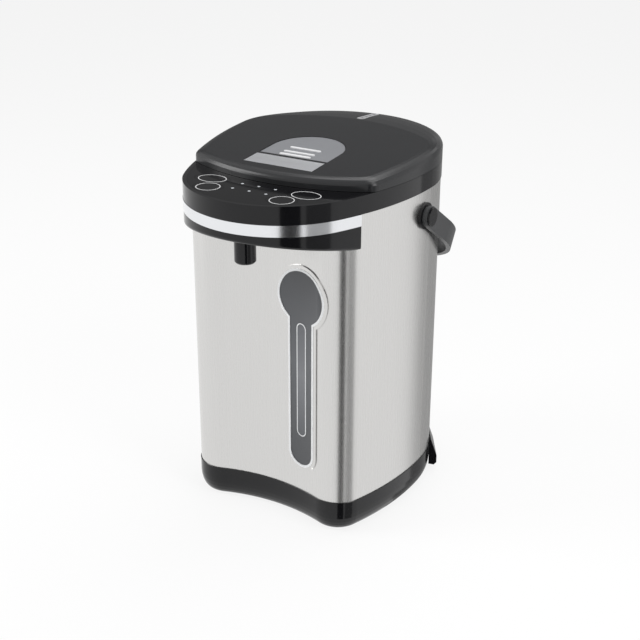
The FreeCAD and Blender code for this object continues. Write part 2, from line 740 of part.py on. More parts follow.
def make_collar():
    """The collar and its beak: a hollow cap with the pot's mouth, a skirt, the hinge bay and its ears."""
    collar = new_body("collar")
    pad(collar, collar_plan(0.0), size.steel_top, size.collar_top)
    neck = size.mouth_radius + size.neck_wall
    pocket(collar, collar_plan(size.collar_wall) + [Circle((0, 0), neck)],
           size.collar_top - size.deck_thick, size.steel_top)
    pocket(collar, [Circle((0, 0), size.mouth_radius)], size.collar_top, size.steel_top)
    pad(collar, body_plan(size.steel_wall + 0.2) + body_plan(size.steel_wall + 2.2),
        size.steel_top - size.skirt_depth, size.collar_top - size.deck_thick + 0.5)
    seam = size.collar_top
    back = size.body_radius + 8.0
    bay_front = size.hinge_reach - size.bay_front
    pad(collar, rectangle(-size.bay_half - 2.0, bay_front - 2.0, size.bay_half + 2.0, size.hinge_reach - 1.0),
        seam - size.bay_depth - 2.5, seam - size.deck_thick + 0.5)
    pocket(collar, rectangle(-size.bay_half, bay_front, size.bay_half, back), seam, seam - size.bay_depth)
    return collar


def make_collar_ears(collar):
    """Two ears that rise from the bay and carry the lid's pin."""
    seam = size.collar_top
    y = size.hinge_reach
    z = seam + size.hinge_lift
    ear = float(size.hinge_pin_radius) + 2.3
    for side in (-1, 1):
        start = side * size.ear_inner if side > 0 else -(size.ear_inner + size.ear_thick)
        outline = [Line((y - ear, seam - size.bay_depth - 0.5), (y + ear, seam - size.bay_depth - 0.5)),
                   Line((y + ear, seam - size.bay_depth - 0.5), (y + ear, z)),
                   Arc((y, z), ear, 0, math.pi),
                   Line((y - ear, z), (y - ear, seam - size.bay_depth - 0.5))]
        item = feature(collar, "Pad", sketch_in(collar, "YZ_Plane", start, outline))
        bind(item, "Length", size.ear_thick + 0.0)
        doc.recompute()
    sketch = sketch_in(collar, "YZ_Plane", 0, [Circle((y, z), size.hinge_pin_radius)])
    bore = feature(collar, "Pocket", sketch)
    bore.Midplane = True
    bore.Length = 160
    doc.recompute()


def make_collar_openings(collar):
    """The panel's bed and opening, and the slot that the latch hook dips into."""
    seam = size.collar_top
    pocket(collar, panel_plan(0.0), seam, seam - size.panel_thick)
    pocket(collar, panel_plan(size.panel_ledge), seam, seam - size.deck_thick - 1.0)
    for name, side, kind in KEYS:
        pocket(collar, [key_outline(side, kind, 2 * size.key_gap)], seam, seam - size.deck_thick - 1.0)
    pocket(collar, rectangle(-HOOK_HALF - 0.6, -HOOK_REACH - 3.2, HOOK_HALF + 0.6, -HOOK_REACH + 6.8),
           seam, seam - size.deck_thick - 1.0)


def panel_plan(inset):
    """Plan of the control panel: the beak's tip, closed by the lid's bowed front edge."""
    tip_centre, tip_radius = beak_tip()
    tip = tip_radius - float(size.panel_edge) - float(inset)
    back_radius = float(size.lid_front_radius)
    back_reach = float(size.panel_back) + float(inset)
    back_centre = (0.0, back_radius - back_reach)
    proud = float(size.side_radius + size.collar_proud - size.panel_edge) - float(inset)
    tip_turn = direction(SIDE_CENTRE, tip_centre)
    corner = meet(SIDE_CENTRE, proud, back_centre, back_radius)
    side_turn = direction(SIDE_CENTRE, corner)
    back_turn = direction(back_centre, corner)
    side = Arc(SIDE_CENTRE, proud, tip_turn, side_turn)
    return [Arc(tip_centre, tip, -math.pi - tip_turn, tip_turn), side, side.mirrored(),
            Arc(back_centre, back_radius, -math.pi - back_turn, back_turn)]


def lip_under(reach):
    """Height of the lip's underside, a distance in front of the pot's axis."""
    rise = math.tan(math.radians(float(size.lip_angle)))
    return float(size.steel_top - size.band_height - size.lip_depth) + rise * (float(reach) - float(size.front_reach))


def under_wedge(name, lift):
    """The space under the lip's tilted underside, a distance above it."""
    near = float(size.front_reach) - 30.0
    far = float(size.beak_reach) + 20.0
    half = float(size.body_radius) + 20.0
    low = lip_under(near) - 20.0
    outline = polygon([(-near, low), (-near, lip_under(near) + lift), (-far, lip_under(far) + lift), (-far, low)])
    return prism(name, outline, -half, half, "YZ")


def make_trim():
    """The bright band and the lip that close the beak below the collar, in front of the steel."""
    low = size.steel_top - size.band_height
    bottom = low - size.lip_depth
    half = size.body_radius + 12.0
    gate = block("beak_space", (-half, -size.beak_reach - 7.0, bottom - 18.0), (half, -size.trim_end, size.steel_top + 7.0))
    steel = prism("steel_space", body_plan(-0.1), bottom - 18.0, size.steel_top + 7.0)
    band_ring = combined("Cut", "band_ring", prism("band_outside", collar_plan(-0.3), low, size.steel_top),
                         prism("band_inside", collar_plan(size.band_thick), low, size.steel_top))
    front = combined("Common", "band_front", band_ring, gate)
    node(combined("Cut", "trim_band", front, steel))
    lip = new_body("lip_shape")
    pad(lip, collar_plan(0.0), bottom - 6.0, low)
    near = float(size.front_reach) - 30.0
    far = float(size.beak_reach) + 20.0
    deep = float(bottom) - 20.0
    wedge = [(-near, deep), (-near, lip_under(near)), (-far, lip_under(far)), (-far, deep)]
    below = feature(lip, "Pocket", sketch_in(lip, "YZ_Plane", 0, polygon(wedge)))
    below.Midplane = True
    below.Length = 2.6 * float(size.body_radius)
    doc.recompute()
    rounded(lip, size.lip_round, on_underside)
    room = combined("Cut", "lip_room", prism("lip_space", collar_plan(size.collar_wall), bottom - 6.0, low + 1.0),
                    under_wedge("lip_floor", float(size.collar_wall)))
    shell = combined("Cut", "lip_shell", lip, room)
    core = combined("Cut", "band_core", prism("core_outside", collar_plan(size.band_thick + 0.1), low, size.steel_top),
                    prism("core_inside", collar_plan(size.collar_wall), low, size.steel_top))
    both = merged("lip_and_core", [shell, core])
    front = combined("Common", "lip_front", both, gate)
    hole = drum("spout_hole", size.spout_radius + 0.1, bottom, low, (0.0, -size.spout_reach))
    node(combined("Cut", "beak_lip", front, merged("lip_openings", [steel, hole])))


def on_underside(edge):
    """Whether an edge of the lip lies on its tilted underside, in front of the steel."""
    ends = [vertex.Point for vertex in edge.Vertexes]
    flat = all(abs(point.z - lip_under(-point.y)) < 1e-3 for point in ends)
    return flat and min(point.y for point in ends) < -float(size.front_reach) + 35.0 and edge.BoundBox.YLength > 1.0


def make_spout():
    """The spout nozzle: a tube through the lip's floor, with a flange that lies on the floor inside."""
    nozzle = new_body("spout_nozzle")
    outer = float(size.spout_radius)
    bore = float(size.spout_bore)
    drop = float(size.spout_bottom)
    shelf = lip_under(float(size.spout_reach) + outer) + float(size.collar_wall) + 0.6
    section = polygon([(bore, drop), (outer - 1.2, drop), (outer, drop + 1.5), (outer, shelf), (outer + 2.0, shelf),
                       (outer + 2.0, shelf + 1.5), (outer, shelf + 1.5), (bore, shelf + 1.5)])
    turned(nozzle, section)
    nozzle.Placement.Base = Vector(0, -float(size.spout_reach), 0)
    node(nozzle)


# Control panel, keys, lamps and boards

KEYS = (("reboil_key", -1, "big"), ("unlock_key", 1, "big"), ("select_key", -1, "small"), ("dispense_key", 1, "small"))


def key_place(side, kind):
    """Where a key sits in plan, and its half length and half depth."""
    if kind == "big":
        return (side * size.big_key_offset, -size.big_key_reach), size.big_key_half, size.big_key_deep
    return (side * size.small_key_offset, -size.small_key_reach), size.small_key_half, size.small_key_deep


def key_outline(side, kind, grow):
    """A key's outline in place, a distance outside its edge."""
    centre, half, deep = key_place(side, kind)
    return Oval(centre, half + grow, deep + grow)


def lamp_places():
    """The six lamps, in two rows."""
    return [(column * size.lamp_pitch, -reach) for reach in (size.lamp_back, size.lamp_front)
            for column in (-1, 0, 1)]


def make_panel():
    """The glossy panel, its keys and lamps, and the board with its switches underneath."""
    seam = size.collar_top
    panel = new_body("control_panel")
    pad(panel, panel_plan(0.15), seam - size.panel_thick, seam)
    holes = []
    for name, side, kind in KEYS:
        holes.append(key_outline(side, kind, size.key_gap))
    for centre in lamp_places():
        holes.append(Circle(centre, size.lamp_radius))
    pocket(panel, holes, seam, seam - size.panel_thick)
    node(panel)
    board_top = seam - size.board_depth
    for name, side, kind in KEYS:
        centre, half, deep = key_place(side, kind)
        key = new_body(name)
        pad(key, [Oval((0, 0), half, deep)], seam - size.panel_thick, seam)
        pad(key, [Circle((0, 0), size.stem_radius)], board_top + size.switch_height + 0.2 + size.key_travel,
            seam - size.panel_thick)
        key.Placement.Base = Vector(float(centre[0]), float(centre[1]), 0)
        node(key)
    lamps = [drum("lamp", size.lamp_radius, board_top, seam, centre) for centre in lamp_places()]
    node(merged("lamp_lenses", lamps))
    sheet_area = prism("board_blank", panel_plan(6.0), board_top - size.board_thick, board_top)
    room = block("board_room", (-66.0, -size.beak_reach, seam - 21.0), (66.0, -size.panel_back - 5.0, seam))
    board = combined("Common", "board_shape", sheet_area, room)
    switches = []
    for name, side, kind in KEYS:
        switches.append(drum("switch", 4.0, board_top, board_top + size.switch_height, key_place(side, kind)[0]))
    posts = [drum("post", 2.5, board_top, seam - size.deck_thick - 1.0, (x, -size.panel_back - 8.0)) for x in (-30.0, 30.0)]
    node(merged("control_board", [board] + switches + posts))


# Inner pot, heater and pump


def make_pot():
    """The inner pot, its seal and the support ring it stands in."""
    outer = float(size.pot_radius)
    wall = float(size.pot_wall)
    floor = float(size.pot_floor)
    bend = float(size.pot_round)
    rim = float(size.collar_top) - float(size.deck_thick) - 15.0 - float(size.seal_thick)
    quarter = math.pi / 2
    pot = new_body("inner_pot")
    flange = outer + float(size.pot_flange)
    section = [Line((0, floor), (outer - bend, floor)), Arc((outer - bend, floor + bend), bend, -quarter, 0),
               Line((outer, floor + bend), (outer, rim - wall)), Line((outer, rim - wall), (flange, rim - wall)),
               Line((flange, rim - wall), (flange, rim)), Line((flange, rim), (outer - wall, rim)),
               Line((outer - wall, rim), (outer - wall, floor + bend)),
               Arc((outer - bend, floor + bend), bend - wall, -quarter, 0),
               Line((outer - bend, floor + wall), (0, floor + wall)), Line((0, floor + wall), (0, floor))]
    turned(pot, section)
    node(pot)
    seal = new_body("pot_seal")
    inner = float(size.mouth_radius)
    top = float(size.steel_top)
    turned(seal, polygon([(inner, rim), (flange, rim), (flange, top), (inner, top)]))
    node(seal)
    ring = new_body("support_ring")
    low = float(size.base_top)
    edge = outer - bend - 2.0
    turned(ring, polygon([(edge - 6.0, low), (edge + 8.0, low), (edge + 8.0, low + 3.0), (edge, low + 3.0),
                          (edge, floor), (edge - 6.0, floor)]))
    gate = block("support_gate", (-9.0, -110.0, low + 3.0), (9.0, -50.0, low + 26.0))
    node(combined("Cut", "pot_support", ring, gate))


def make_heater():
    """Heater plate with its thermostat and fuse under the pot, and the keep-warm band round it."""
    floor = size.pot_floor
    node(drum("heater_plate", 62.0, floor - 8.0, floor), "heater_plate")
    outer = float(size.pot_radius)
    band = new_body("heater_band")
    low = float(floor) + 20.0
    turned(band, polygon([(outer, low), (outer + 2.5, low), (outer + 2.5, low + 34.0), (outer, low + 34.0)]))
    node(band)
    disc = drum("thermostat_disc", 12.0, floor - 13.0, floor - 8.0, (0.0, 28.0))
    cap = drum("thermostat_cap", 8.0, floor - 20.0, floor - 13.0, (0.0, 28.0))
    node(merged("thermostat", [disc, cap]))
    node(block("thermal_fuse", (24.0, 20.0, floor - 14.0), (30.0, 44.0, floor - 8.0)))


PUMP = (0.0, -34.0)


def make_pump():
    """The pump under the pot: housing, impeller, motor, and the pipe up to the spout."""
    x, y = PUMP
    low = float(size.base_top)
    housing = combined("Cut", "pump_shell", drum("pump_case", 24.0, low + 4.0, low + 24.0, PUMP),
                       drum("pump_chamber", 20.0, low + 8.0, low + 21.0, PUMP))
    inlet = drum("pump_inlet", 6.0, low + 24.0, size.pot_floor - 8.0, PUMP)
    bore = drum("pump_inlet_bore", 4.0, low + 20.0, size.pot_floor - 8.0, PUMP)
    shaft_hole = drum("shaft_hole", 2.6, low, low + 9.0, PUMP)
    outlet = doc.addObject("Part::Cylinder", "pump_outlet")
    outlet.Radius = 6.0
    outlet.Height = 32.0
    outlet.Placement = FreeCAD.Placement(Vector(x, y - 22.0, low + 14.0), FreeCAD.Rotation(Vector(1, 0, 0), 90))
    solid = merged("pump_solid", [housing, inlet, outlet])
    chamber = drum("pump_space", 20.0, low + 8.0, low + 21.0, PUMP)
    node(combined("Cut", "pump_housing", solid, merged("pump_bores", [bore, shaft_hole, chamber])))
    hub = drum("impeller_hub", 5.0, low + 9.0, low + 20.0, PUMP)
    shaft = drum("impeller_shaft", 2.5, low + 0.5, low + 9.0, PUMP)
    vanes = []
    for turn in range(6):
        vane = block("vane", (3.0, -1.0, low + 9.0), (17.5, 1.0, low + 18.0))
        vane.Placement = FreeCAD.Placement(Vector(x, y, 0), FreeCAD.Rotation(Vector(0, 0, 1), turn * 60)).multiply(
            FreeCAD.Placement(Vector(3.0, -1.0, low + 9.0), FreeCAD.Rotation()))
        vanes.append(vane)
    node(merged("pump_impeller", [hub, shaft] + vanes))
    motor = drum("motor_can", 17.0, 8.0, low, PUMP)
    feet = block("motor_feet", (-30.0, y - 6.0, low), (30.0, y + 6.0, low + 4.0))
    seat = drum("motor_shaft_hole", 2.6, low - 12.0, low + 5.0, PUMP)
    well = drum("motor_bearing", 6.0, low, low + 4.0, PUMP)
    arms = combined("Cut", "motor_bracket", merged("motor_solid", [motor, feet, well]), seat)
    node(arms, "pump_motor")


def swept(name, points, bend, radius, bore):
    """A pipe along straight runs joined by equal bends."""
    points = [Vector(*[float(value) for value in point]) for point in points]
    edges = []
    start = points[0]
    for before, corner, after in zip(points, points[1:], points[2:]):
        back = (before - corner).normalize()
        on = (after - corner).normalize()
        half = back.getAngle(on) / 2
        reach = bend / math.tan(half)
        first = corner + back * reach
        last = corner + on * reach
        middle = corner + (back + on).normalize() * (bend / math.sin(half) - bend)
        edges.append(Part.LineSegment(start, first).toShape())
        edges.append(Part.Arc(first, middle, last).toShape())
        start = last
    edges.append(Part.LineSegment(start, points[-1]).toShape())
    path = Part.Wire(edges)
    heading = points[1] - points[0]

    def tube(reach):
        ring = Part.Wire([Part.Circle(points[0], heading, reach).toShape()])
        return path.makePipeShell([ring], True, False)

    item = doc.addObject("Part::Feature", name)
    item.Shape = tube(radius).cut(tube(bore))
    return item


def make_pipe():
    """The riser pipe from the pump, up inside the front wall and over into the spout."""
    x, y = PUMP
    low = float(size.base_top) + 14.0
    seat = lip_under(size.spout_reach) + 5.0
    rise = seat + 9.0
    route = [(x, y - 54.0, low), (x, -105.0, low), (x, -105.0, rise),
             (x, -float(size.spout_reach), rise), (x, -float(size.spout_reach), seat)]
    node(swept("riser_pipe", route, 8.0, 5.0, 3.8))


def make_boards():
    """The power board on the bottom cover."""
    low = size.foot_height + 0.5 + COVER_THICK
    board = block("power_board_blank", (-42.0, 46.0, low + 6.0), (42.0, 84.0, low + 6.0 + size.board_thick))
    posts = [drum("board_post", 3.0, low, low + 6.0, (x, y)) for x in (-37.0, 37.0) for y in (51.0, 79.0)]
    coil = block("transformer", (-30.0, 54.0, low + 7.0), (-8.0, 76.0, low + 24.0))
    relay = block("relay", (4.0, 58.0, low + 7.0), (20.0, 72.0, low + 20.0))
    node(merged("power_board", [board, coil, relay] + posts))


def make_inlet():
    """The hood at the right rear of the base, with its shallow socket and three pins."""
    turn = float(size.inlet_angle)
    reach = float(size.inlet_reach)
    half = float(size.inlet_width) / 2
    top = float(size.base_top)
    foot = float(size.inlet_foot)
    outline = polygon([(104.0, foot + 4.0), (reach - 3.0, foot), (reach, foot + 3.0), (reach, foot + 12.0),
                       (float(size.body_radius) + 1.0, top + 3.0), (104.0, top + 3.0)])
    wedge = prism("hood_wedge", [Line((e.start.x, e.start.y), (e.end.x, e.end.y)) for e in outline], -half, half, "XZ")
    place = FreeCAD.Placement(Vector(0, 0, 0), FreeCAD.Rotation(Vector(0, 0, 1), turn))
    wedge.Placement = place.multiply(wedge.Placement)
    room = prism("hood_room", body_plan(-size.collar_proud), 0.0, 60.0)
    hood = combined("Cut", "hood_shape", wedge, room)
    socket = block("socket_space", (reach - 3.0, -13.0, foot + 3.0), (reach + 5.0, 13.0, foot + 11.0))
    socket.Placement = place.multiply(socket.Placement)
    node(combined("Cut", "power_inlet", hood, socket))
    pins = []
    for offset in (-8.0, 0.0, 8.0):
        pin = doc.addObject("Part::Cylinder", "inlet_pin")
        pin.Radius = 1.6
        pin.Height = 2.4
        pin.Placement = place.multiply(FreeCAD.Placement(Vector(reach - 3.0, offset, foot + 7.0),
                                                         FreeCAD.Rotation(Vector(0, 1, 0), 90)))
        pins.append(pin)
    node(merged("inlet_pins", pins))


# Carrying bail


def bail_plan(inset):
    """The bail's outline in its own plane, arms along +Y, a distance inside its outer face."""
    half = float(bail_half()) - inset
    grip = float(size.grip_radius) - inset
    corner = float(size.grip_corner) - inset
    grip_centre = (0.0, float(size.grip_reach - size.grip_radius))
    x = float(bail_half()) - float(size.grip_corner)
    apart = float(size.grip_radius - size.grip_corner)
    y = grip_centre[1] + math.sqrt(apart ** 2 - x ** 2)
    turn = direction(grip_centre, (x, y))
    return [Arc((x, y), corner, 0, turn), Arc(grip_centre, grip, turn, math.pi - turn),
            Arc((-x, y), corner, math.pi - turn, math.pi), half, y]


def bail_half():
    """Outside of the bail's arms, from the middle."""
    return size.body_radius + size.boss_thick + 0.4 + size.strap_thick


def make_bail():
    """The carrying bail: a flat strap bent round the back, thicker at the grip, with round ends."""
    outer = bail_plan(0.0)
    half, reach = outer[3], outer[4]
    inner_half = half - float(size.strap_thick)
    grip = float(size.grip_radius - size.grip_thick)
    corner = float(size.grip_corner) - float(size.strap_thick)
    grip_centre = (0.0, float(size.grip_reach - size.grip_radius))
    x = inner_half - corner
    apart = grip - corner
    y = grip_centre[1] + math.sqrt(apart ** 2 - x ** 2)
    turn = direction(grip_centre, (x, y))
    bail = new_body("bail")
    edges = outer[:3] + [Line((half, 0), (half, reach)), Line((-half, 0), (-half, reach)),
                         Line((half, 0), (inner_half, 0)), Line((-half, 0), (-inner_half, 0)),
                         Line((inner_half, 0), (inner_half, y)), Line((-inner_half, 0), (-inner_half, y)),
                         Arc((x, y), corner, 0, turn), Arc(grip_centre, grip, turn, math.pi - turn),
                         Arc((-x, y), corner, math.pi - turn, math.pi)]
    pad(bail, edges, -size.strap_width / 2, size.strap_width / 2)
    for side in (-1, 1):
        start = inner_half if side > 0 else -half
        item = feature(bail, "Pad", sketch_in(bail, "YZ_Plane", start, [Circle((0, 0), size.strap_width / 2)]))
        bind(item, "Length", size.strap_thick)
        doc.recompute()
    hole = feature(bail, "Pocket", sketch_in(bail, "YZ_Plane", 0, [Circle((0, 0), size.pivot_pin_radius + size.pin_clearance)]))
    hole.Midplane = True
    hole.Length = 3 * float(size.body_radius)
    doc.recompute()
    bail.Placement = FreeCAD.Placement(Vector(0, float(size.pivot_reach), float(size.pivot_height)),
                                       FreeCAD.Rotation(Vector(1, 0, 0), -float(size.rest_angle)))
    node(bail)
    lugs = []
    caps = []
    y, z = float(size.pivot_reach), float(size.pivot_height)
    for side in (-1, 1):
        def along(name, radius, first, last):
            item = doc.addObject("Part::Cylinder", name)
            item.Radius = float(radius)
            item.Height = float(last) - float(first)
            x = float(first) if side > 0 else -float(last)
            item.Placement = FreeCAD.Placement(Vector(x, y, z), FreeCAD.Rotation(Vector(0, 1, 0), 90))
            return item
        skin = float(size.body_radius)
        outside = float(bail_half())
        lugs.append(merged("lug", [along("lug_disc", size.boss_radius, skin - 1.0, skin + float(size.boss_thick)),
                                   along("lug_pin", size.pivot_pin_radius, skin - 6.0, outside + 0.3),
                                   along("lug_nut", size.pivot_pin_radius + 4.0, skin - 6.0, skin - 3.0)]))
        caps.append(along("cap", size.cap_radius, outside + 0.3, outside + 0.3 + float(size.cap_thick)))
    steel = prism("lug_space", body_plan(0.0), size.pivot_height - 40.0, size.pivot_height + 40.0)
    hollow = combined("Cut", "lug_wall", steel, prism("lug_inside", body_plan(size.steel_wall), size.pivot_height - 41.0,
                                                            size.pivot_height + 41.0))
    ring = doc.addObject("Part::Cylinder", "lug_core")
    ring.setExpression("Radius", size.pivot_pin_radius.text)
    reach = 1.3 * float(size.body_radius)
    ring.Height = 2 * reach
    ring.Placement = FreeCAD.Placement(Vector(-reach, y, z), FreeCAD.Rotation(Vector(0, 1, 0), 90))
    node(combined("Cut", "bail_pivots", merged("lugs", lugs), combined("Cut", "lug_gap", hollow, ring)))
    node(merged("pivot_caps", caps))


# Lid with its latch


def slope_height(y, low, low_reach, high, high_reach):
    """Height above the seam on a plane that climbs towards the back."""
    return low + (high - low) * (y - low_reach) / (high_reach - low_reach)


def rim_height(y):
    """Top of the lid's upright rim above the seam."""
    return slope_height(y, float(size.lid_front_rim), -float(size.lid_front_reach),
                        float(size.lid_rear_rim), float(size.body_radius))


def crown_height(y):
    """The lid's crown above the seam."""
    return slope_height(y, float(size.lid_front_crown), -float(PLATE_FRONT),
                        float(size.lid_rear_crown), float(size.crown_reach))


CROWN_SLOPE = math.degrees(math.atan(crown_height(1.0) - crown_height(0.0)))


def section_wire(edges, height):
    """An outline carried up to a height above the seam that only changes with Y, edge by edge."""
    base = float(size.collar_top)
    raised = []
    for edge in edges:
        middle = edge.point((edge.first + edge.last) / 2)
        points = [Vector(point.x, point.y, base + height(point.y)) for point in (edge.start, middle, edge.end)]
        raised.append(Part.Arc(*points).toShape())
    return Part.Wire(Part.__sortEdges__(raised))


def lid_block(inset, drop):
    """The lower and upper outline of the lid's upright rim, a distance inside it."""
    level = section_wire(lid_plan(inset), lambda y: float(size.lid_gap))
    rim = section_wire(lid_plan(inset), lambda y: rim_height(y) - drop)
    return level, rim


SHOULDER_TURN = math.radians(75.0)
SHOULDER_STEPS = 5


def shoulder_share(turn):
    """How far the shoulder has gone inwards and upwards, where it has turned by an angle."""
    return (1 - math.cos(turn)) / (1 - math.cos(SHOULDER_TURN)), math.sin(turn) / math.sin(SHOULDER_TURN)


def shoulder_wire(turn):
    """An outline between the rim and the crown, on the rounded shoulder."""
    inward, upward = shoulder_share(turn)
    raised = []
    for rim, crown in zip(lid_plan(0.0), crown_plan()):
        points = []
        for way in (0.0, 0.5, 1.0):
            outer = rim.point(rim.first + (rim.last - rim.first) * way)
            inner = crown.point(crown.first + (crown.last - crown.first) * way)
            low = rim_height(outer.y) - float(size.lid_round)
            high = crown_height(inner.y)
            plan = outer + (inner - outer) * inward
            points.append(Vector(plan.x, plan.y, float(size.collar_top) + low + (high - low) * upward))
        raised.append(Part.Arc(*points).toShape())
    return Part.Wire(Part.__sortEdges__(raised))


def shoulder_height(y):
    """The lid's height above the seam behind its crown, in the middle."""
    outer = float(size.body_radius + size.collar_proud)
    inward = (outer - y) / (outer - float(size.crown_reach))
    turn = math.acos(1 - inward * (1 - math.cos(SHOULDER_TURN)))
    low = rim_height(outer) - float(size.lid_round)
    return low + (crown_height(float(size.crown_reach)) - low) * shoulder_share(turn)[1]


def make_lid_cover():
    """The lid's cover: upright rim, rounded shoulder and tilted crown, hollow below."""
    level = lid_block(0.0, 0.0)[0]
    turns = [SHOULDER_TURN * step / SHOULDER_STEPS for step in range(SHOULDER_STEPS + 1)]
    outer = Part.makeLoft([level] + [shoulder_wire(turn) for turn in turns], True, True)
    hollow_level, hollow_rim = lid_block(size.lid_wall, float(size.lid_wall))
    hollow = Part.makeLoft([hollow_level, hollow_rim], True, True)
    cover = doc.addObject("Part::Feature", "lid_outer")
    cover.Shape = outer.cut(hollow).removeSplitter()
    ears = []
    reach = float(size.hinge_reach)
    seam = float(size.collar_top)
    gap = float(size.play)
    for side in (-1, 1):
        first = float(size.ear_inner) - gap
        last = float(size.ear_inner + size.ear_thick) + gap
        low, high = (first, last) if side > 0 else (-last, -first)
        ears.append(block("ear_room", (low, reach - 6.5, seam - 1.0), (high, reach + 20.0, seam + 9.5)))
    latch = lid_top_space("latch_room", pad_outline(0.5), -12.0, 20.0)
    plate = lid_top_space("plate_bed", plate_outline(0.1), -float(size.plate_thick), 20.0)
    vent = lid_vent_space("vent_room", 0.1)
    node(combined("Cut", "lid_cover", cover, merged("lid_openings", ears + [latch, plate, vent])))


def lid_frame():
    """Placement of the lid's top plane: its origin on the crown above the pot's axis."""
    return FreeCAD.Placement(Vector(0, 0, float(size.collar_top) + crown_height(0.0)),
                             FreeCAD.Rotation(Vector(1, 0, 0), CROWN_SLOPE))


def lid_top_space(name, edges, low, high):
    """A prism square to the lid's top plane."""
    item = prism(name, edges, low, high)
    item.Placement = lid_frame().multiply(item.Placement)
    return item


def plate_outline(grow):
    """The bare metal plate in front of the press pad."""
    half = float(size.plate_half) + grow
    front = -float(PLATE_FRONT) - grow
    return rectangle(-half, front, half, -float(PLATE_FRONT - size.plate_depth) + grow)


def pad_outline(grow):
    """The press pad: a straight front and a round back."""
    half = float(size.plate_half) + grow
    front = -float(PAD_FRONT) - grow
    straight = -float(PAD_STRAIGHT)
    return [Line((-half, front), (half, front)), Line((half, front), (half, straight)),
            Arc((0, straight), half, 0, math.pi), Line((-half, straight), (-half, front))]


def lid_vent_space(name, grow):
    """A round-ended slot on the lid's back shoulder."""
    run = float(size.vent_length - size.vent_width) / 2
    y = float(size.vent_reach)
    front, back = shoulder_height(y - run), shoulder_height(y + run)
    rise = math.degrees(math.atan((front - back) / (2 * run)))
    middle = (front + back) / 2
    item = prism(name, slot((size.vent_length - size.vent_width) / 2, size.vent_width / 2 + grow), -14.0, 6.0)
    item.Placement = FreeCAD.Placement(Vector(0, y, float(size.collar_top) + middle),
                                       FreeCAD.Rotation(Vector(1, 0, 0), -rise)).multiply(item.Placement)
    return item


def make_vent():
    """The steam vent insert with its row of holes, flush with the shoulder."""
    tray = lid_vent_space("vent_body", -0.05)
    holes = []
    for place in (-13.5, -4.5, 4.5, 13.5):
        hole = drum("vent_hole", 2.0, -30.0, 20.0, (0.0, place))
        hole.Placement = tray.Placement.multiply(FreeCAD.Placement(Vector(0, place, -30.0), FreeCAD.Rotation()))
        holes.append(hole)
    top = prism("vent_trim", slot((size.vent_length - size.vent_width) / 2, size.vent_width / 2 + 2.0), 0.0, 30.0)
    top.Placement = tray.Placement
    node(combined("Cut", "steam_vent", tray, merged("vent_openings", holes + [top])))


def make_lid_inside():
    """Lid base plate with its hinge barrel, the steel liner, its gasket, float, and the hinge pin."""
    seam = size.collar_top
    low = seam + size.lid_gap
    reach = size.hinge_reach
    z = float(seam + size.hinge_lift)
    gap = float(size.play)
    plate = prism("base_plate", lid_plan(size.lid_wall + 0.1), low, low + 2.0)
    barrel_length = 2 * (float(size.ear_inner) - gap)
    barrel = doc.addObject("Part::Cylinder", "barrel")
    barrel.Radius = float(size.hinge_pin_radius) + 1.9
    barrel.Height = barrel_length
    barrel.Placement = FreeCAD.Placement(Vector(-barrel_length / 2, float(reach), z),
                                         FreeCAD.Rotation(Vector(0, 1, 0), 90))
    web = block("barrel_web", (-barrel_length / 2, reach - 8.0, low), (barrel_length / 2, reach + 0.0, z + 2.0))
    bore = doc.addObject("Part::Cylinder", "barrel_bore")
    bore.setExpression("Radius", (size.hinge_pin_radius + size.pin_clearance).text)
    bore.Height = 120.0
    bore.Placement = FreeCAD.Placement(Vector(-60, float(reach), z), FreeCAD.Rotation(Vector(0, 1, 0), 90))
    rooms = [bore]
    for side in (-1, 1):
        first = float(size.ear_inner) - gap
        last = float(size.ear_inner + size.ear_thick) + gap
        left, right = (first, last) if side > 0 else (-last, -first)
        rooms.append(block("ear_pass", (left, reach - 6.5, seam - 1.0), (right, reach + 20.0, seam + 9.5)))
    rooms.append(block("hook_pass", (-HOOK_HALF - 0.6, -HOOK_REACH - 1.6, seam - 1.0),
                       (HOOK_HALF + 0.6, -HOOK_REACH + 7.0, seam + 6.0)))
    rooms.append(drum("steam_pass", 5.0, seam - 1.0, seam + 6.0, (0.0, 60.0)))
    node(combined("Cut", "lid_base", merged("base_solid", [plate, barrel, web]), merged("base_openings", rooms)))
    liner = new_body("lid_liner")
    outer = float(size.mouth_radius) - 4.0
    top = float(low)
    drop = top - 9.0
    turned(liner, polygon([(0.0, drop), (outer - 5.0, drop), (outer - 1.0, drop + 3.0), (outer - 1.0, top),
                           (outer - 2.0, top), (outer - 2.0, drop + 3.4), (outer - 5.4, drop + 1.0),
                           (0.0, drop + 1.0)]))
    pocket(liner, [Circle((0, 60.0), 5.0)], drop + 1.0, drop)
    node(liner)
    gasket = new_body("lid_gasket")
    turned(gasket, polygon([(outer - 1.0, top - 4.0), (outer + 1.2, top - 5.0), (outer + 2.6, top - 3.0),
                            (outer + 1.6, top), (outer - 1.0, top)]))
    node(gasket)
    node(merged("steam_float", [drum("float_stem", 3.2, drop + 1.0, low + 4.0, (0.0, 60.0)),
                                drum("float_head", 6.5, drop + 1.0, drop + 3.0, (0.0, 60.0))]))
    pin_end = float(size.ear_inner + size.ear_thick)
    pin = doc.addObject("Part::Cylinder", "hinge_pin")
    pin.setExpression("Radius", size.hinge_pin_radius.text)
    pin.Height = 2 * pin_end
    pin.Placement = FreeCAD.Placement(Vector(-pin_end, float(reach), z), FreeCAD.Rotation(Vector(0, 1, 0), 90))
    node(pin)


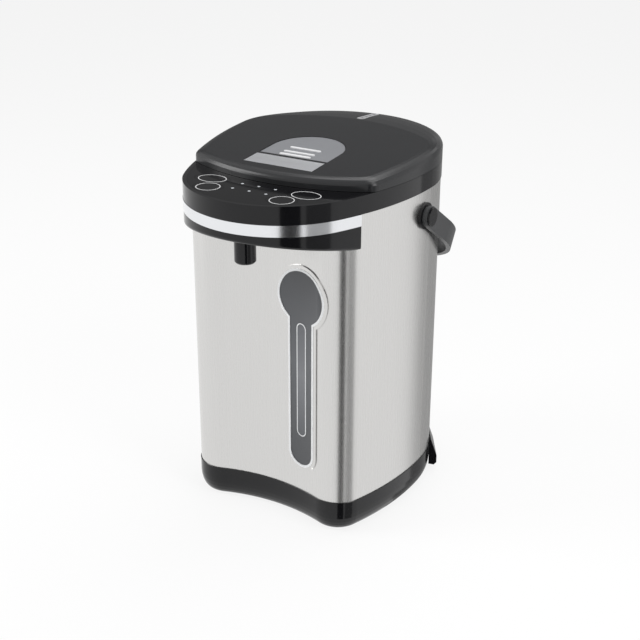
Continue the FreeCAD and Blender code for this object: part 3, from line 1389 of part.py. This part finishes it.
def make_latch():
    """The latch plate, the press pad on its pin, the white grip bars, the sliding bolt and its spring."""
    frame = lid_frame()
    plate = lid_top_space("latch_plate", plate_outline(0.0), -float(size.plate_thick), 0.0)
    node(plate)
    thick = float(size.pad_thick)
    top = lid_top_space("pad_top", pad_outline(0.0), -thick - 0.5, -0.5)
    pin_y = -float(PAD_PIN)
    pin_z = -float(size.pad_pin_depth)
    clear = float(size.pin_clearance)
    pieces = [top]
    pin_half = 22.0

    def across(name, radius, start, length):
        item = doc.addObject("Part::Cylinder", name)
        item.Radius = radius
        item.Height = length
        item.Placement = frame.multiply(FreeCAD.Placement(Vector(start, pin_y, pin_z),
                                                          FreeCAD.Rotation(Vector(0, 1, 0), 90)))
        return item

    for start in (-14.0, 8.0):
        knuckle = across("pad_knuckle", float(size.pad_pin_radius) + 1.4, start, 6.0)
        web = block("pad_web", (start, pin_y - 1.4, pin_z), (start + 6.0, pin_y + 1.4, -thick))
        web.Placement = frame.multiply(web.Placement)
        pieces += [knuckle, web]
    cam = block("pad_cam", (-5.0, pin_y - 44.0, -5.0), (5.0, pin_y - 41.0, -thick))
    cam.Placement = frame.multiply(cam.Placement)
    pieces.append(cam)
    bore = across("pad_bore", float(size.pad_pin_radius) + clear, -30.0, 60.0)
    node(combined("Cut", "press_pad", merged("pad_solid", pieces), bore))
    bars = []
    for setback, width in ((24.5, 1.0), (12.0, 1.0), (3.5, 1.2)):
        half = float(size.bar_length) / 2
        reach = float(PAD_FRONT) - setback
        deep = float(size.bar_width) * width / 2
        bars.append(lid_top_space("grip_bar", slot(half - deep, deep, (0, -reach), False), -0.5,
                                  float(size.bar_height) - 0.5))
    node(merged("grip_bars", bars))
    pin = across("latch_pin_rod", float(size.pad_pin_radius), -pin_half, 2 * pin_half)
    posts = []
    base_top = float(size.collar_top + size.lid_gap) + 2.0
    seat = frame.multVec(Vector(0, pin_y, pin_z))
    for x in (-21.0, 17.0):
        posts.append(block("pin_post", (x, seat.y - 2.5, base_top), (x + 4.0, seat.y + 2.5, seat.z + 2.2)))
    rod_room = across("rod_room", float(size.pad_pin_radius), -40.0, 80.0)
    node(combined("Cut", "latch_posts", merged("post_pair", posts), rod_room))
    node(pin, "latch_pin")
    low = base_top + 0.3
    body = block("bolt_bar", (-HOOK_HALF, -HOOK_REACH, low), (HOOK_HALF, pin_y - 24.0, low + 2.5))
    hook = block("bolt_hook", (-HOOK_HALF, -HOOK_REACH, float(size.collar_top) - 5.6),
                 (HOOK_HALF, -HOOK_REACH + 2.6, low + 1.0))
    heel = block("bolt_heel", (-5.0, pin_y - 39.5, low), (5.0, pin_y - 32.0, low + 4.4))
    node(merged("latch_bolt", [body, hook, heel]))
    coil = Part.makeHelix(1.1, 8.5, 1.9)
    start = Part.Wire([Part.Circle(Vector(1.9, 0, 0), Vector(0, 1, 0), 0.3).toShape()])
    wire = Part.Wire(coil.Edges).makePipeShell([start], True, True)
    spring = doc.addObject("Part::Feature", "latch_spring")
    spring.Shape = wire
    spring.Placement = FreeCAD.Placement(Vector(0, pin_y - 20.1, low + 2.3), FreeCAD.Rotation(Vector(1, 0, 0), -90))
    node(spring)
    stop = block("spring_stop", (-5.0, pin_y - 11.0, base_top), (5.0, pin_y - 9.0, low + 5.0))
    node(stop, "spring_stop")


# The whole pot


def make_all():
    """Builds every piece."""
    make_base()
    make_bottom_cover()
    make_steel()
    make_gauge()
    collar = make_collar()
    make_collar_ears(collar)
    make_collar_openings(collar)
    node(collar)
    for maker in (make_trim, make_spout, make_panel, make_pot, make_heater, make_pump, make_pipe, make_boards,
                  make_inlet, make_bail, make_lid_cover, make_vent, make_lid_inside, make_latch):
        maker()


def centre_all():
    """Moves every piece so that the origin is under the middle of the pot."""
    front = min(item.Shape.optimalBoundingBox(False).YMin for item in NODES)
    back = max(item.Shape.optimalBoundingBox(False).YMax for item in NODES)
    shift = -(front + back) / 2
    for item in NODES:
        item.Placement = FreeCAD.Placement(Vector(0, shift, 0), FreeCAD.Rotation()).multiply(item.Placement)
    doc.recompute()
    return shift


def export_all():
    """Checks every object and piece, then writes one STEP file for each piece."""
    for item in doc.Objects:
        if "Invalid" in item.State or "Error" in item.State:
            raise ValueError("%s is not built" % item.Label)
    for item in NODES:
        if item.Shape.isNull() or not item.Shape.isValid() or not item.Shape.Solids:
            raise ValueError("%s has no sound solid" % item.Label)
    os.makedirs("parts", exist_ok=True)
    for item in NODES:
        item.Shape.exportStep("parts/%s.step" % item.Label)


make_all()
shift = centre_all()
export_all()
print("pieces", len(NODES), "shift of the pot's axis", round(shift, 3))
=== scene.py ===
"""Dresses an electric thermo pot: brushed steel, glossy black mouldings, charcoal lid, prints and studio."""
import bmesh
import bpy
import json
import math
from mathutils import Matrix, Vector


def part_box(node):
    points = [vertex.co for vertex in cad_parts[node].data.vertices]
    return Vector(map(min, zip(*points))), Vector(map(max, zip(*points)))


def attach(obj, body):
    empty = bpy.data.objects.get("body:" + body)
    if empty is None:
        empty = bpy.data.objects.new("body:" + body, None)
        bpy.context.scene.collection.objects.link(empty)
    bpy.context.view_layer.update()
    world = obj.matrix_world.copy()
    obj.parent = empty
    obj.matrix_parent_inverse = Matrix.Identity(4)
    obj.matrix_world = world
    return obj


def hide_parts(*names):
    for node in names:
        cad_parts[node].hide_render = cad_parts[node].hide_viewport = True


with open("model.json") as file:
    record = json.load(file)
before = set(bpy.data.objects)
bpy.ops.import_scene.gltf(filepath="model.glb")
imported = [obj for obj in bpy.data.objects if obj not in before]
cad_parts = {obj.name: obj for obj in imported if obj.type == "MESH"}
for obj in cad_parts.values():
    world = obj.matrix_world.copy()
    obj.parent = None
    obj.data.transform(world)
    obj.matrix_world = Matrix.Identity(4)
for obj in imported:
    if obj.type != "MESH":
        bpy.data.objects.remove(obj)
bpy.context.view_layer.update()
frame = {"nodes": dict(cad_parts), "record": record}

MM = 0.001
NODES = frame["nodes"]


# Shader maths

class Value:
    """A number at a shader socket, with plain arithmetic that adds Math nodes."""

    def __init__(self, shader, socket):
        self.shader = shader
        self.socket = socket

    def math(self, operation, *others, turned=False):
        inputs = [self] + list(others)
        if turned:
            inputs.reverse()
        return self.shader.node("ShaderNodeMath", {"operation": operation}, dict(enumerate(inputs)))

    def __add__(self, other):
        return self.math("ADD", other)

    def __sub__(self, other):
        return self.math("SUBTRACT", other)

    def __mul__(self, other):
        return self.math("MULTIPLY", other)

    def __truediv__(self, other):
        return self.math("DIVIDE", other)

    def __radd__(self, other):
        return self.math("ADD", other)

    def __rsub__(self, other):
        return self.math("SUBTRACT", other, turned=True)

    def __rmul__(self, other):
        return self.math("MULTIPLY", other)

    def size(self):
        return self.math("ABSOLUTE")


class Shader:
    """A material in the making: its nodes, its Principled shader and the object's own coordinates."""

    def __init__(self, name):
        self.material = bpy.data.materials.new(name)
        self.material.use_nodes = True
        self.tree = self.material.node_tree
        self.skin = self.tree.nodes["Principled BSDF"]
        self.place = self.node("ShaderNodeTexCoord", {}, {}, "Object")

    def node(self, kind, settings, inputs, output=0):
        """Adds a node with its settings first, then values or links on its sockets."""
        item = self.tree.nodes.new(kind)
        for name, setting in settings.items():
            setattr(item, name, setting)
        for name, value in inputs.items():
            self.feed(item.inputs[name], value)
        return Value(self, item.outputs[output])

    def feed(self, socket, value):
        """Sets a socket's value, or links it."""
        if isinstance(value, Value):
            self.tree.links.new(value.socket, socket)
        else:
            socket.default_value = value

    def stretched(self, scale):
        """The object's coordinates in millimetres, scaled along each axis."""
        per_metre = [1000.0 * share for share in scale]
        return self.node("ShaderNodeMapping", {}, {"Vector": self.place, "Scale": per_metre})

    def noise(self, scale, detail=2.0, rough=0.5):
        """Noise whose grain is stretched along each axis, from 0 to 1."""
        return self.node("ShaderNodeTexNoise", {}, {"Vector": self.stretched(scale), "Scale": 1.0,
                                                    "Detail": detail, "Roughness": rough})

    def between(self, factor, first, second):
        """A colour mixed between two."""
        mix = self.tree.nodes.new("ShaderNodeMix")
        mix.data_type = "RGBA"
        self.feed(mix.inputs["Factor"], factor)
        self.feed(mix.inputs["A"], first)
        self.feed(mix.inputs["B"], second)
        return Value(self, mix.outputs["Result"])

    def axis(self, number):
        """One coordinate of the point, in millimetres."""
        parts = self.tree.nodes.new("ShaderNodeSeparateXYZ")
        self.feed(parts.inputs[0], self.place)
        return Value(self, parts.outputs[number]) * 1000.0

    def bump(self, height, strength, distance):
        """Feeds a height to the surface's normal."""
        value = self.node("ShaderNodeBump", {}, {"Height": height, "Strength": strength,
                                                 "Distance": distance})
        self.feed(self.skin.inputs["Normal"], value)

    def set(self, **values):
        """Sets sockets of the Principled shader by name, with underscores for spaces."""
        for name, value in values.items():
            self.feed(self.skin.inputs[name.replace("_", " ")], value)
        return self


def grey(shade, alpha=1.0):
    """A colour from one number, or from three."""
    if isinstance(shade, (int, float)):
        return (shade, shade, shade, alpha)
    return (*shade, alpha)


# Materials. Noise scales are per millimetre, so a small one gives long, soft changes

CLOUD_SCALE = 0.03
GRAIN_SCALE = 0.6
CLOUD_CONTRAST = 0.08
HAIR_ACROSS = 3.0
HAIR_ALONG = 0.02
BAND_ACROSS = 0.12
BAND_ALONG = 0.004


def moulded(name, shade, rough, coat, grain, shine=0.5):
    """Moulded plastic: a fine grain in its surface, faint cloudiness in its colour and gloss."""
    s = Shader(name)
    cloud = s.noise([CLOUD_SCALE] * 3, 2.0)
    fine = s.noise([GRAIN_SCALE] * 3, 3.0, 0.6)
    colour = s.between(cloud, grey([c * (1 - CLOUD_CONTRAST) for c in shade]),
                       grey([c * (1 + CLOUD_CONTRAST) for c in shade]))
    gloss = rough * 0.9 + fine * (rough * 0.2) if rough > 0.2 else rough + cloud * 0.03
    s.set(Base_Color=colour, Roughness=gloss, Coat_Weight=coat, Coat_Roughness=0.04, Specular_IOR_Level=shine)
    s.bump(fine, grain, 0.0001)
    return s.material


def brushed(name, shade, rough, along, contrast=0.10):
    """Brushed metal: hairlines along one axis in colour, gloss and height."""
    s = Shader(name)
    hair = s.noise([HAIR_ALONG if axis == along else HAIR_ACROSS for axis in "xyz"], 3.0, 0.7)
    band = s.noise([BAND_ALONG if axis == along else BAND_ACROSS for axis in "xyz"], 2.0)
    lines = hair * 0.7 + band * 0.3
    s.set(Base_Color=s.between(lines, grey([c * (1 - contrast) for c in shade]),
                                   grey([min(1.0, c * (1 + contrast)) for c in shade])),
          Metallic=1.0, Roughness=rough - 0.04 + lines * 0.10)
    s.bump(hair, 0.12, 0.00002)
    return s.material


def clear(name, shade, alpha):
    """Clear plastic or glass with a faint unevenness."""
    s = Shader(name)
    wave = s.noise((0.05, 0.05, 0.05), 1.0)
    s.set(Base_Color=grey(shade), Roughness=0.04 + wave * 0.04, Alpha=alpha)
    return s.material


def smoked(name, low, high, dark, light):
    """Smoked plastic, paler in the middle of its height."""
    s = Shader(name)
    height = (s.axis(2) - low) / (high - low)
    wave = s.noise((0.02, 0.02, 0.012), 1.5)
    pale = (height - 0.55).size() * -1.6 + 1.0 + wave * 0.3 - 0.15
    s.set(Base_Color=s.between(pale, grey(dark), grey(light)), Roughness=0.10 + wave * 0.05,
          Coat_Weight=0.3, Coat_Roughness=0.04, Specular_IOR_Level=0.4)
    return s.material


MATERIALS = {
    "gloss_black": moulded("gloss_black", (0.006, 0.006, 0.007), 0.09, 0.0, 0.02, shine=0.34),
    "matt_black": moulded("matt_black", (0.020, 0.020, 0.022), 0.55, 0.0, 0.25, shine=0.4),
    "panel_gloss": moulded("panel_gloss", (0.004, 0.004, 0.005), 0.05, 0.0, 0.0, shine=0.22),
    "lid_charcoal": moulded("lid_charcoal", (0.015, 0.0155, 0.017), 0.24, 0.0, 0.10, shine=0.38),
    "satin_grey": moulded("satin_grey", (0.034, 0.035, 0.037), 0.34, 0.0, 0.12, shine=0.45),
    "vent_grey": moulded("vent_grey", (0.42, 0.42, 0.43), 0.35, 0.0, 0.1),
    "pad_grey": moulded("pad_grey", (0.22, 0.225, 0.24), 0.40, 0.0, 0.15),
    "bar_white": moulded("bar_white", (0.80, 0.80, 0.81), 0.4, 0.0, 0.05),
    "gauge_white": moulded("gauge_white", (0.82, 0.83, 0.84), 0.22, 0.3, 0.02),
    "gauge_smoke": smoked("gauge_smoke", 60.0, 290.0, (0.040, 0.042, 0.046), (0.105, 0.110, 0.120)),
    "slot_smoke": smoked("slot_smoke", 100.0, 232.0, (0.075, 0.080, 0.090), (0.185, 0.190, 0.205)),
    "lamp_clear": moulded("lamp_clear", (0.75, 0.78, 0.82), 0.15, 0.4, 0.0),
    "rubber": moulded("rubber", (0.022, 0.022, 0.022), 0.75, 0.0, 0.3),
    "silicone": moulded("silicone", (0.62, 0.62, 0.60), 0.5, 0.0, 0.1),
    "board_green": moulded("board_green", (0.02, 0.13, 0.06), 0.4, 0.1, 0.1),
    "brushed_steel": brushed("brushed_steel", (0.64, 0.635, 0.625), 0.26, "z", 0.04),
    "pot_steel": brushed("pot_steel", (0.64, 0.64, 0.63), 0.22, "z"),
    "steel_parts": brushed("steel_parts", (0.55, 0.55, 0.55), 0.30, "z"),
    "band_silver": brushed("band_silver", (0.80, 0.81, 0.83), 0.16, "x", 0.03),
    "plate_silver": brushed("plate_silver", (0.80, 0.81, 0.84), 0.34, "x", 0.20),
    "glass": clear("glass", (0.85, 0.88, 0.90), 0.35),
}
SLOT_OF = {item["node"]: item["material_slot"] for item in frame["record"]["subparts"]}


for name, item in NODES.items():
    item.data.materials.clear()
    item.data.materials.append(MATERIALS[SLOT_OF[name]])


# Level gauge, in millimetres: the hollow front of the steel, the outlines, then how far the layers stand out

FRONT_RADIUS = 189.3
FRONT_CENTRE = -280.4
CORNER_START = 61.0
CORNER_PLACE = (70.86, -72.65)
CORNER_RADIUS = 30.3
STEM_MIDDLE = 39.5
STEM_HALF = 14.6
STEM_LOW = 82.7
HEAD_PLACE = (40.2, 258.8)
HEAD_RADIUS = 28.4
FLANGE = 6.2
WHITE_LINE = 2.3
SLOT_MIDDLE = 39.7
SLOT_HALF = 6.2
SLOT_LOW = 102.2
SLOT_HIGH = 230.9
SLOT_LINE = 1.0
SUNK = -0.4
FLANGE_FRONT = 1.3
LINE_FRONT = 1.6
PANE_BACK = -0.3
PANE_FRONT = 0.9
SLOT_BACK = 0.8
SLOT_LINE_FRONT = 1.1
SLOT_FRONT = 1.0
OVERLAP = 0.1
HEAD_STEPS = 56
END_STEPS = 24
STRIP = 2


def skin(x):
    """Where the hollow front of the steel stands along Y, at a distance from the middle."""
    if x <= CORNER_START:
        return FRONT_CENTRE + math.sqrt(FRONT_RADIUS ** 2 - x ** 2)
    return CORNER_PLACE[1] - math.sqrt(CORNER_RADIUS ** 2 - (x - CORNER_PLACE[0]) ** 2)


def sweep(centre, radius, first, last, steps):
    """Points of an arc, angles in radians."""
    x, z = centre
    turns = [first + (last - first) * step / steps for step in range(steps + 1)]
    return [(x + radius * math.cos(turn), z + radius * math.sin(turn)) for turn in turns]


def spoon(grow):
    """The level gauge's outline: a round head on a stem with a round foot."""
    half = STEM_HALF + grow
    head = HEAD_RADIUS + grow
    right = math.asin(-math.sqrt(head ** 2 - (STEM_MIDDLE + half - HEAD_PLACE[0]) ** 2) / head)
    left = -math.pi - math.asin(-math.sqrt(head ** 2 - (HEAD_PLACE[0] - STEM_MIDDLE + half) ** 2) / head)
    top = sweep(HEAD_PLACE, head, right, left + 2 * math.pi, HEAD_STEPS)
    return top + sweep((STEM_MIDDLE, STEM_LOW), half, math.pi, 2 * math.pi, END_STEPS)


def capsule(middle, half, low, high):
    """An upright slot with round ends."""
    top = sweep((middle, high - half), half, 0.0, math.pi, END_STEPS)
    return top + sweep((middle, low + half), half, math.pi, 2 * math.pi, END_STEPS)


ROUND_STEPS = 3
ROUND_ANGLE = 40


def finished(name, made, slot, body, material=None, rounding=0.0):
    """Makes a piece of a bmesh, rides it on its body and gives it its finish."""
    bmesh.ops.remove_doubles(made, verts=made.verts, dist=1e-7)
    bmesh.ops.recalc_face_normals(made, faces=made.faces)
    for face in made.faces:
        face.smooth = rounding > 0
    mesh = bpy.data.meshes.new(name)
    made.to_mesh(mesh)
    made.free()
    mesh.materials.append(MATERIALS[material or slot])
    piece = bpy.data.objects.new(name, mesh)
    bpy.context.collection.objects.link(piece)
    if rounding:
        bevel = piece.modifiers.new("edge_round", "BEVEL")
        bevel.width = rounding * MM
        bevel.segments = ROUND_STEPS
        bevel.limit_method = "ANGLE"
        bevel.angle_limit = math.radians(ROUND_ANGLE)
        bevel.harden_normals = True
    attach(piece, body)
    return piece


def on_front(name, points, ring, back, front, slot, material=None, rounding=0.0):
    """A plate, or a ring of a given width, laid on the hollow front of the steel and bent to it in strips."""
    made = bmesh.new()
    face = made.faces.new([made.verts.new((x * MM, 0.0, z * MM)) for x, z in points])
    face.normal_update()
    if ring:
        bmesh.ops.inset_individual(made, faces=[face], thickness=ring * MM)
        bmesh.ops.delete(made, geom=[face], context="FACES_ONLY")
    cut = math.ceil(min(x for x, z in points))
    while cut < max(x for x, z in points):
        parts = made.verts[:] + made.edges[:] + made.faces[:]
        bmesh.ops.bisect_plane(made, geom=parts, plane_co=(cut * MM, 0, 0), plane_no=(1, 0, 0))
        cut += STRIP
    grown = bmesh.ops.extrude_face_region(made, geom=made.faces[:])
    raised = [item for item in grown["geom"] if isinstance(item, bmesh.types.BMVert)]
    bmesh.ops.translate(made, verts=raised, vec=(0, -(front - back) * MM, 0))
    for vert in made.verts:
        vert.co.y += (skin(vert.co.x / MM) - back) * MM
    return finished(name, made, slot, "pot", material, rounding)


def make_gauge():
    """The level gauge: raised flange, white line, smoked window and scale slot."""
    flange_ring = FLANGE - WHITE_LINE + 2 * OVERLAP
    flange = on_front("gauge_flange", spoon(FLANGE), flange_ring, SUNK, FLANGE_FRONT, "brushed_steel",
                      rounding=0.6)
    line_ring = WHITE_LINE + 2 * OVERLAP
    on_front("gauge_line", spoon(WHITE_LINE), line_ring, SUNK, LINE_FRONT, "gauge_white", rounding=0.4)
    pane = on_front("gauge_pane", spoon(OVERLAP), 0.0, PANE_BACK, PANE_FRONT, "gauge_smoke")
    slot = capsule(SLOT_MIDDLE, SLOT_HALF, SLOT_LOW, SLOT_HIGH)
    on_front("gauge_slot_line", slot, SLOT_LINE, SLOT_BACK, SLOT_LINE_FRONT, "gauge_white")
    inner = capsule(SLOT_MIDDLE, SLOT_HALF - SLOT_LINE + OVERLAP, SLOT_LOW + SLOT_LINE - OVERLAP,
                    SLOT_HIGH - SLOT_LINE + OVERLAP)
    on_front("gauge_slot", inner, 0.0, SLOT_BACK, SLOT_FRONT, "gauge_smoke", "slot_smoke")
    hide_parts("gauge_frame")
    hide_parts("gauge_window")


# White ovals printed on the keys, in millimetres. The share is of the key's own length

KEYS = ("reboil_key", "unlock_key", "select_key", "dispense_key")
RING_SHARE = 0.78
RING_MARGIN = 0.15
RING_WIDTH = 0.75
RING_THICK = 0.12
RING_SUNK = 0.01
RING_STEPS = 96


def make_key_rings():
    """A thin white oval on each key."""
    for key in KEYS:
        low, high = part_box(key)
        middle = (Vector(low) + Vector(high)) / 2
        half = (Vector(high) - Vector(low)) / 2
        made = bmesh.new()
        bmesh.ops.create_circle(made, cap_ends=True, segments=RING_STEPS, radius=1.0)
        bmesh.ops.scale(made, vec=(half.x * RING_SHARE, half.y - RING_MARGIN * MM, 1.0), verts=made.verts)
        inner = made.faces[:]
        bmesh.ops.inset_individual(made, faces=inner, thickness=RING_WIDTH * MM)
        bmesh.ops.delete(made, geom=inner, context="FACES_ONLY")
        grown = bmesh.ops.extrude_face_region(made, geom=made.faces[:])
        raised = [item for item in grown["geom"] if isinstance(item, bmesh.types.BMVert)]
        bmesh.ops.translate(made, verts=raised, vec=(0, 0, RING_THICK * MM))
        bmesh.ops.translate(made, verts=made.verts, vec=(middle.x, middle.y, high[2] - RING_SUNK * MM))
        finished(key + "_ring", made, "bar_white", key)


make_gauge()
make_key_rings()


# Studio, in metres and watts

WORLD_LIGHT = 0.35
FLOOR_GLOW = 0.85
FLOOR_SIZE = 8.0
FLOOR_DROP = 0.0005
SEEN_RAYS = ("Is Camera Ray", "Is Glossy Ray", "Is Transmission Ray")
# name, place, what it faces, power, width, height
LAMPS = (
    ("left_softbox", (-1.5, -1.0, 0.9), (0, 0, 0.2), 22.0, 0.9, 1.6),
    ("right_softbox", (1.6, -0.35, 1.0), (0, 0, 0.2), 16.0, 0.8, 1.6),
    ("top_softbox", (0.1, 0.5, 2.0), (0, 0, 0.3), 16.0, 1.4, 1.4),
)
# name, bearing in degrees, distance, height of its middle, width, tall, shade of its glow
CARDS = (
    ("camera_card", -50.0, 2.0, -0.6, 0.80, 3.0, 0.015),
    ("right_card", -18.0, 2.0, -0.6, 1.05, 3.0, 0.36),
    ("back_card", 86.0, 2.0, -0.6, 2.30, 3.0, 0.38),
    ("ceiling_card", 125.0, 2.0, 1.1, 3.4, 2.0, 0.22),
)


def softbox(name, spot, target, energy, width, height):
    """A broad soft lamp that faces a point."""
    data = bpy.data.lights.new(name, "AREA")
    data.energy = energy
    data.shape = "RECTANGLE"
    data.size = width
    data.size_y = height
    lamp = bpy.data.objects.new(name, data)
    lamp.location = spot
    lamp.rotation_euler = (Vector(target) - Vector(spot)).to_track_quat("-Z", "Y").to_euler()
    bpy.context.collection.objects.link(lamp)


def backdrop_material():
    """Pale to the lamps and near white to the camera, with the object's shadow kept."""
    s = Shader("floor_white")
    s.set(Base_Color=grey(0.9), Roughness=0.9, Specular_IOR_Level=0.0)
    tree = s.tree
    path = tree.nodes.new("ShaderNodeLightPath")
    glow = tree.nodes.new("ShaderNodeEmission")
    share = tree.nodes.new("ShaderNodeMath")
    share.operation = "MULTIPLY"
    share.inputs[1].default_value = FLOOR_GLOW
    pick = tree.nodes.new("ShaderNodeMixShader")
    tree.links.new(shown(tree, path, SEEN_RAYS), share.inputs[0])
    tree.links.new(share.outputs[0], pick.inputs[0])
    tree.links.new(s.skin.outputs[0], pick.inputs[1])
    tree.links.new(glow.outputs[0], pick.inputs[2])
    tree.links.new(pick.outputs[0], tree.nodes["Material Output"].inputs[0])
    return s.material


def shown(tree, path, names):
    """One where a ray is of any of the named kinds."""
    total = path.outputs[names[0]]
    for name in names[1:]:
        most = tree.nodes.new("ShaderNodeMath")
        most.operation = "MAXIMUM"
        tree.links.new(total, most.inputs[0])
        tree.links.new(path.outputs[name], most.inputs[1])
        total = most.outputs[0]
    return total


def make_world():
    """A white surround for the camera and reflections, and a plain soft light for the rest."""
    world = bpy.data.worlds.new("studio")
    bpy.context.scene.world = world
    world.use_nodes = True
    tree = world.node_tree
    tree.nodes.clear()
    path = tree.nodes.new("ShaderNodeLightPath")
    lit = tree.nodes.new("ShaderNodeBackground")
    lit.inputs["Color"].default_value = grey(1.0)
    lit.inputs["Strength"].default_value = WORLD_LIGHT
    white = tree.nodes.new("ShaderNodeBackground")
    white.inputs["Color"].default_value = grey(1.0)
    white.inputs["Strength"].default_value = 1.0
    pick = tree.nodes.new("ShaderNodeMixShader")
    out = tree.nodes.new("ShaderNodeOutputWorld")
    tree.links.new(shown(tree, path, SEEN_RAYS), pick.inputs[0])
    tree.links.new(lit.outputs[0], pick.inputs[1])
    tree.links.new(white.outputs[0], pick.inputs[2])
    tree.links.new(pick.outputs[0], out.inputs[0])


def card(name, bearing, distance, height, width, tall, shade):
    """A sheet that glows a dark or grey shade, seen only in reflections, where it puts dark and grey
    reflections on the metal and gloss. It reaches below the floor, which they don't see.
    """
    turn = math.radians(bearing)
    spot = Vector((distance * math.cos(turn), distance * math.sin(turn), height))
    bpy.ops.mesh.primitive_plane_add(size=1.0, location=spot)
    item = bpy.context.object
    item.name = name
    item.scale = (width, tall, 1.0)
    item.rotation_euler = Vector((-spot.x, -spot.y, 0)).to_track_quat("Z", "Y").to_euler()
    s = Shader(name)
    # The shade is the card's own glow, not light it gets from the lamps: it gives reflections their dark and
    # grey bands.
    s.set(Base_Color=grey(0.0), Roughness=1.0, Specular_IOR_Level=0.0, Emission_Color=grey(shade),
          Emission_Strength=1.0)
    item.data.materials.append(s.material)
    item.visible_camera = False
    item.visible_diffuse = False
    item.visible_shadow = False


def make_studio():
    """Pale floor, broad lamps and cards. Reflections see the white world where the floor is."""
    make_world()
    bpy.ops.mesh.primitive_plane_add(size=FLOOR_SIZE, location=(0, 0, -FLOOR_DROP))
    floor = bpy.context.object
    floor.name = "floor"
    floor.data.materials.append(backdrop_material())
    floor.visible_glossy = False
    for row in CARDS:
        card(*row)
    for row in LAMPS:
        softbox(*row)


# Camera, placed by fitting the outline of the body to the photograph

CAMERA_PLACE = Vector((618.0, -1045.8, 716.8)) * MM
CAMERA_AXES = ((0.86192, 0.50703, 0.00381), (-0.2047, 0.34109, 0.91747), (0.46389, -0.79156, 0.39778))
FOCAL_PIXELS = 1206.82
FRAME_PIXELS = 640.0
SENSOR = 36.0


def make_camera():
    """The camera at the photograph's viewing angle."""
    data = bpy.data.cameras.new("camera")
    data.sensor_width = SENSOR
    data.lens = FOCAL_PIXELS / FRAME_PIXELS * SENSOR
    camera = bpy.data.objects.new("camera", data)
    turn = Matrix(CAMERA_AXES).transposed().to_4x4()
    camera.matrix_world = Matrix.Translation(CAMERA_PLACE) @ turn
    bpy.context.collection.objects.link(camera)
    bpy.context.scene.camera = camera


make_studio()
make_camera()
bpy.context.scene.view_settings.view_transform = "Standard"
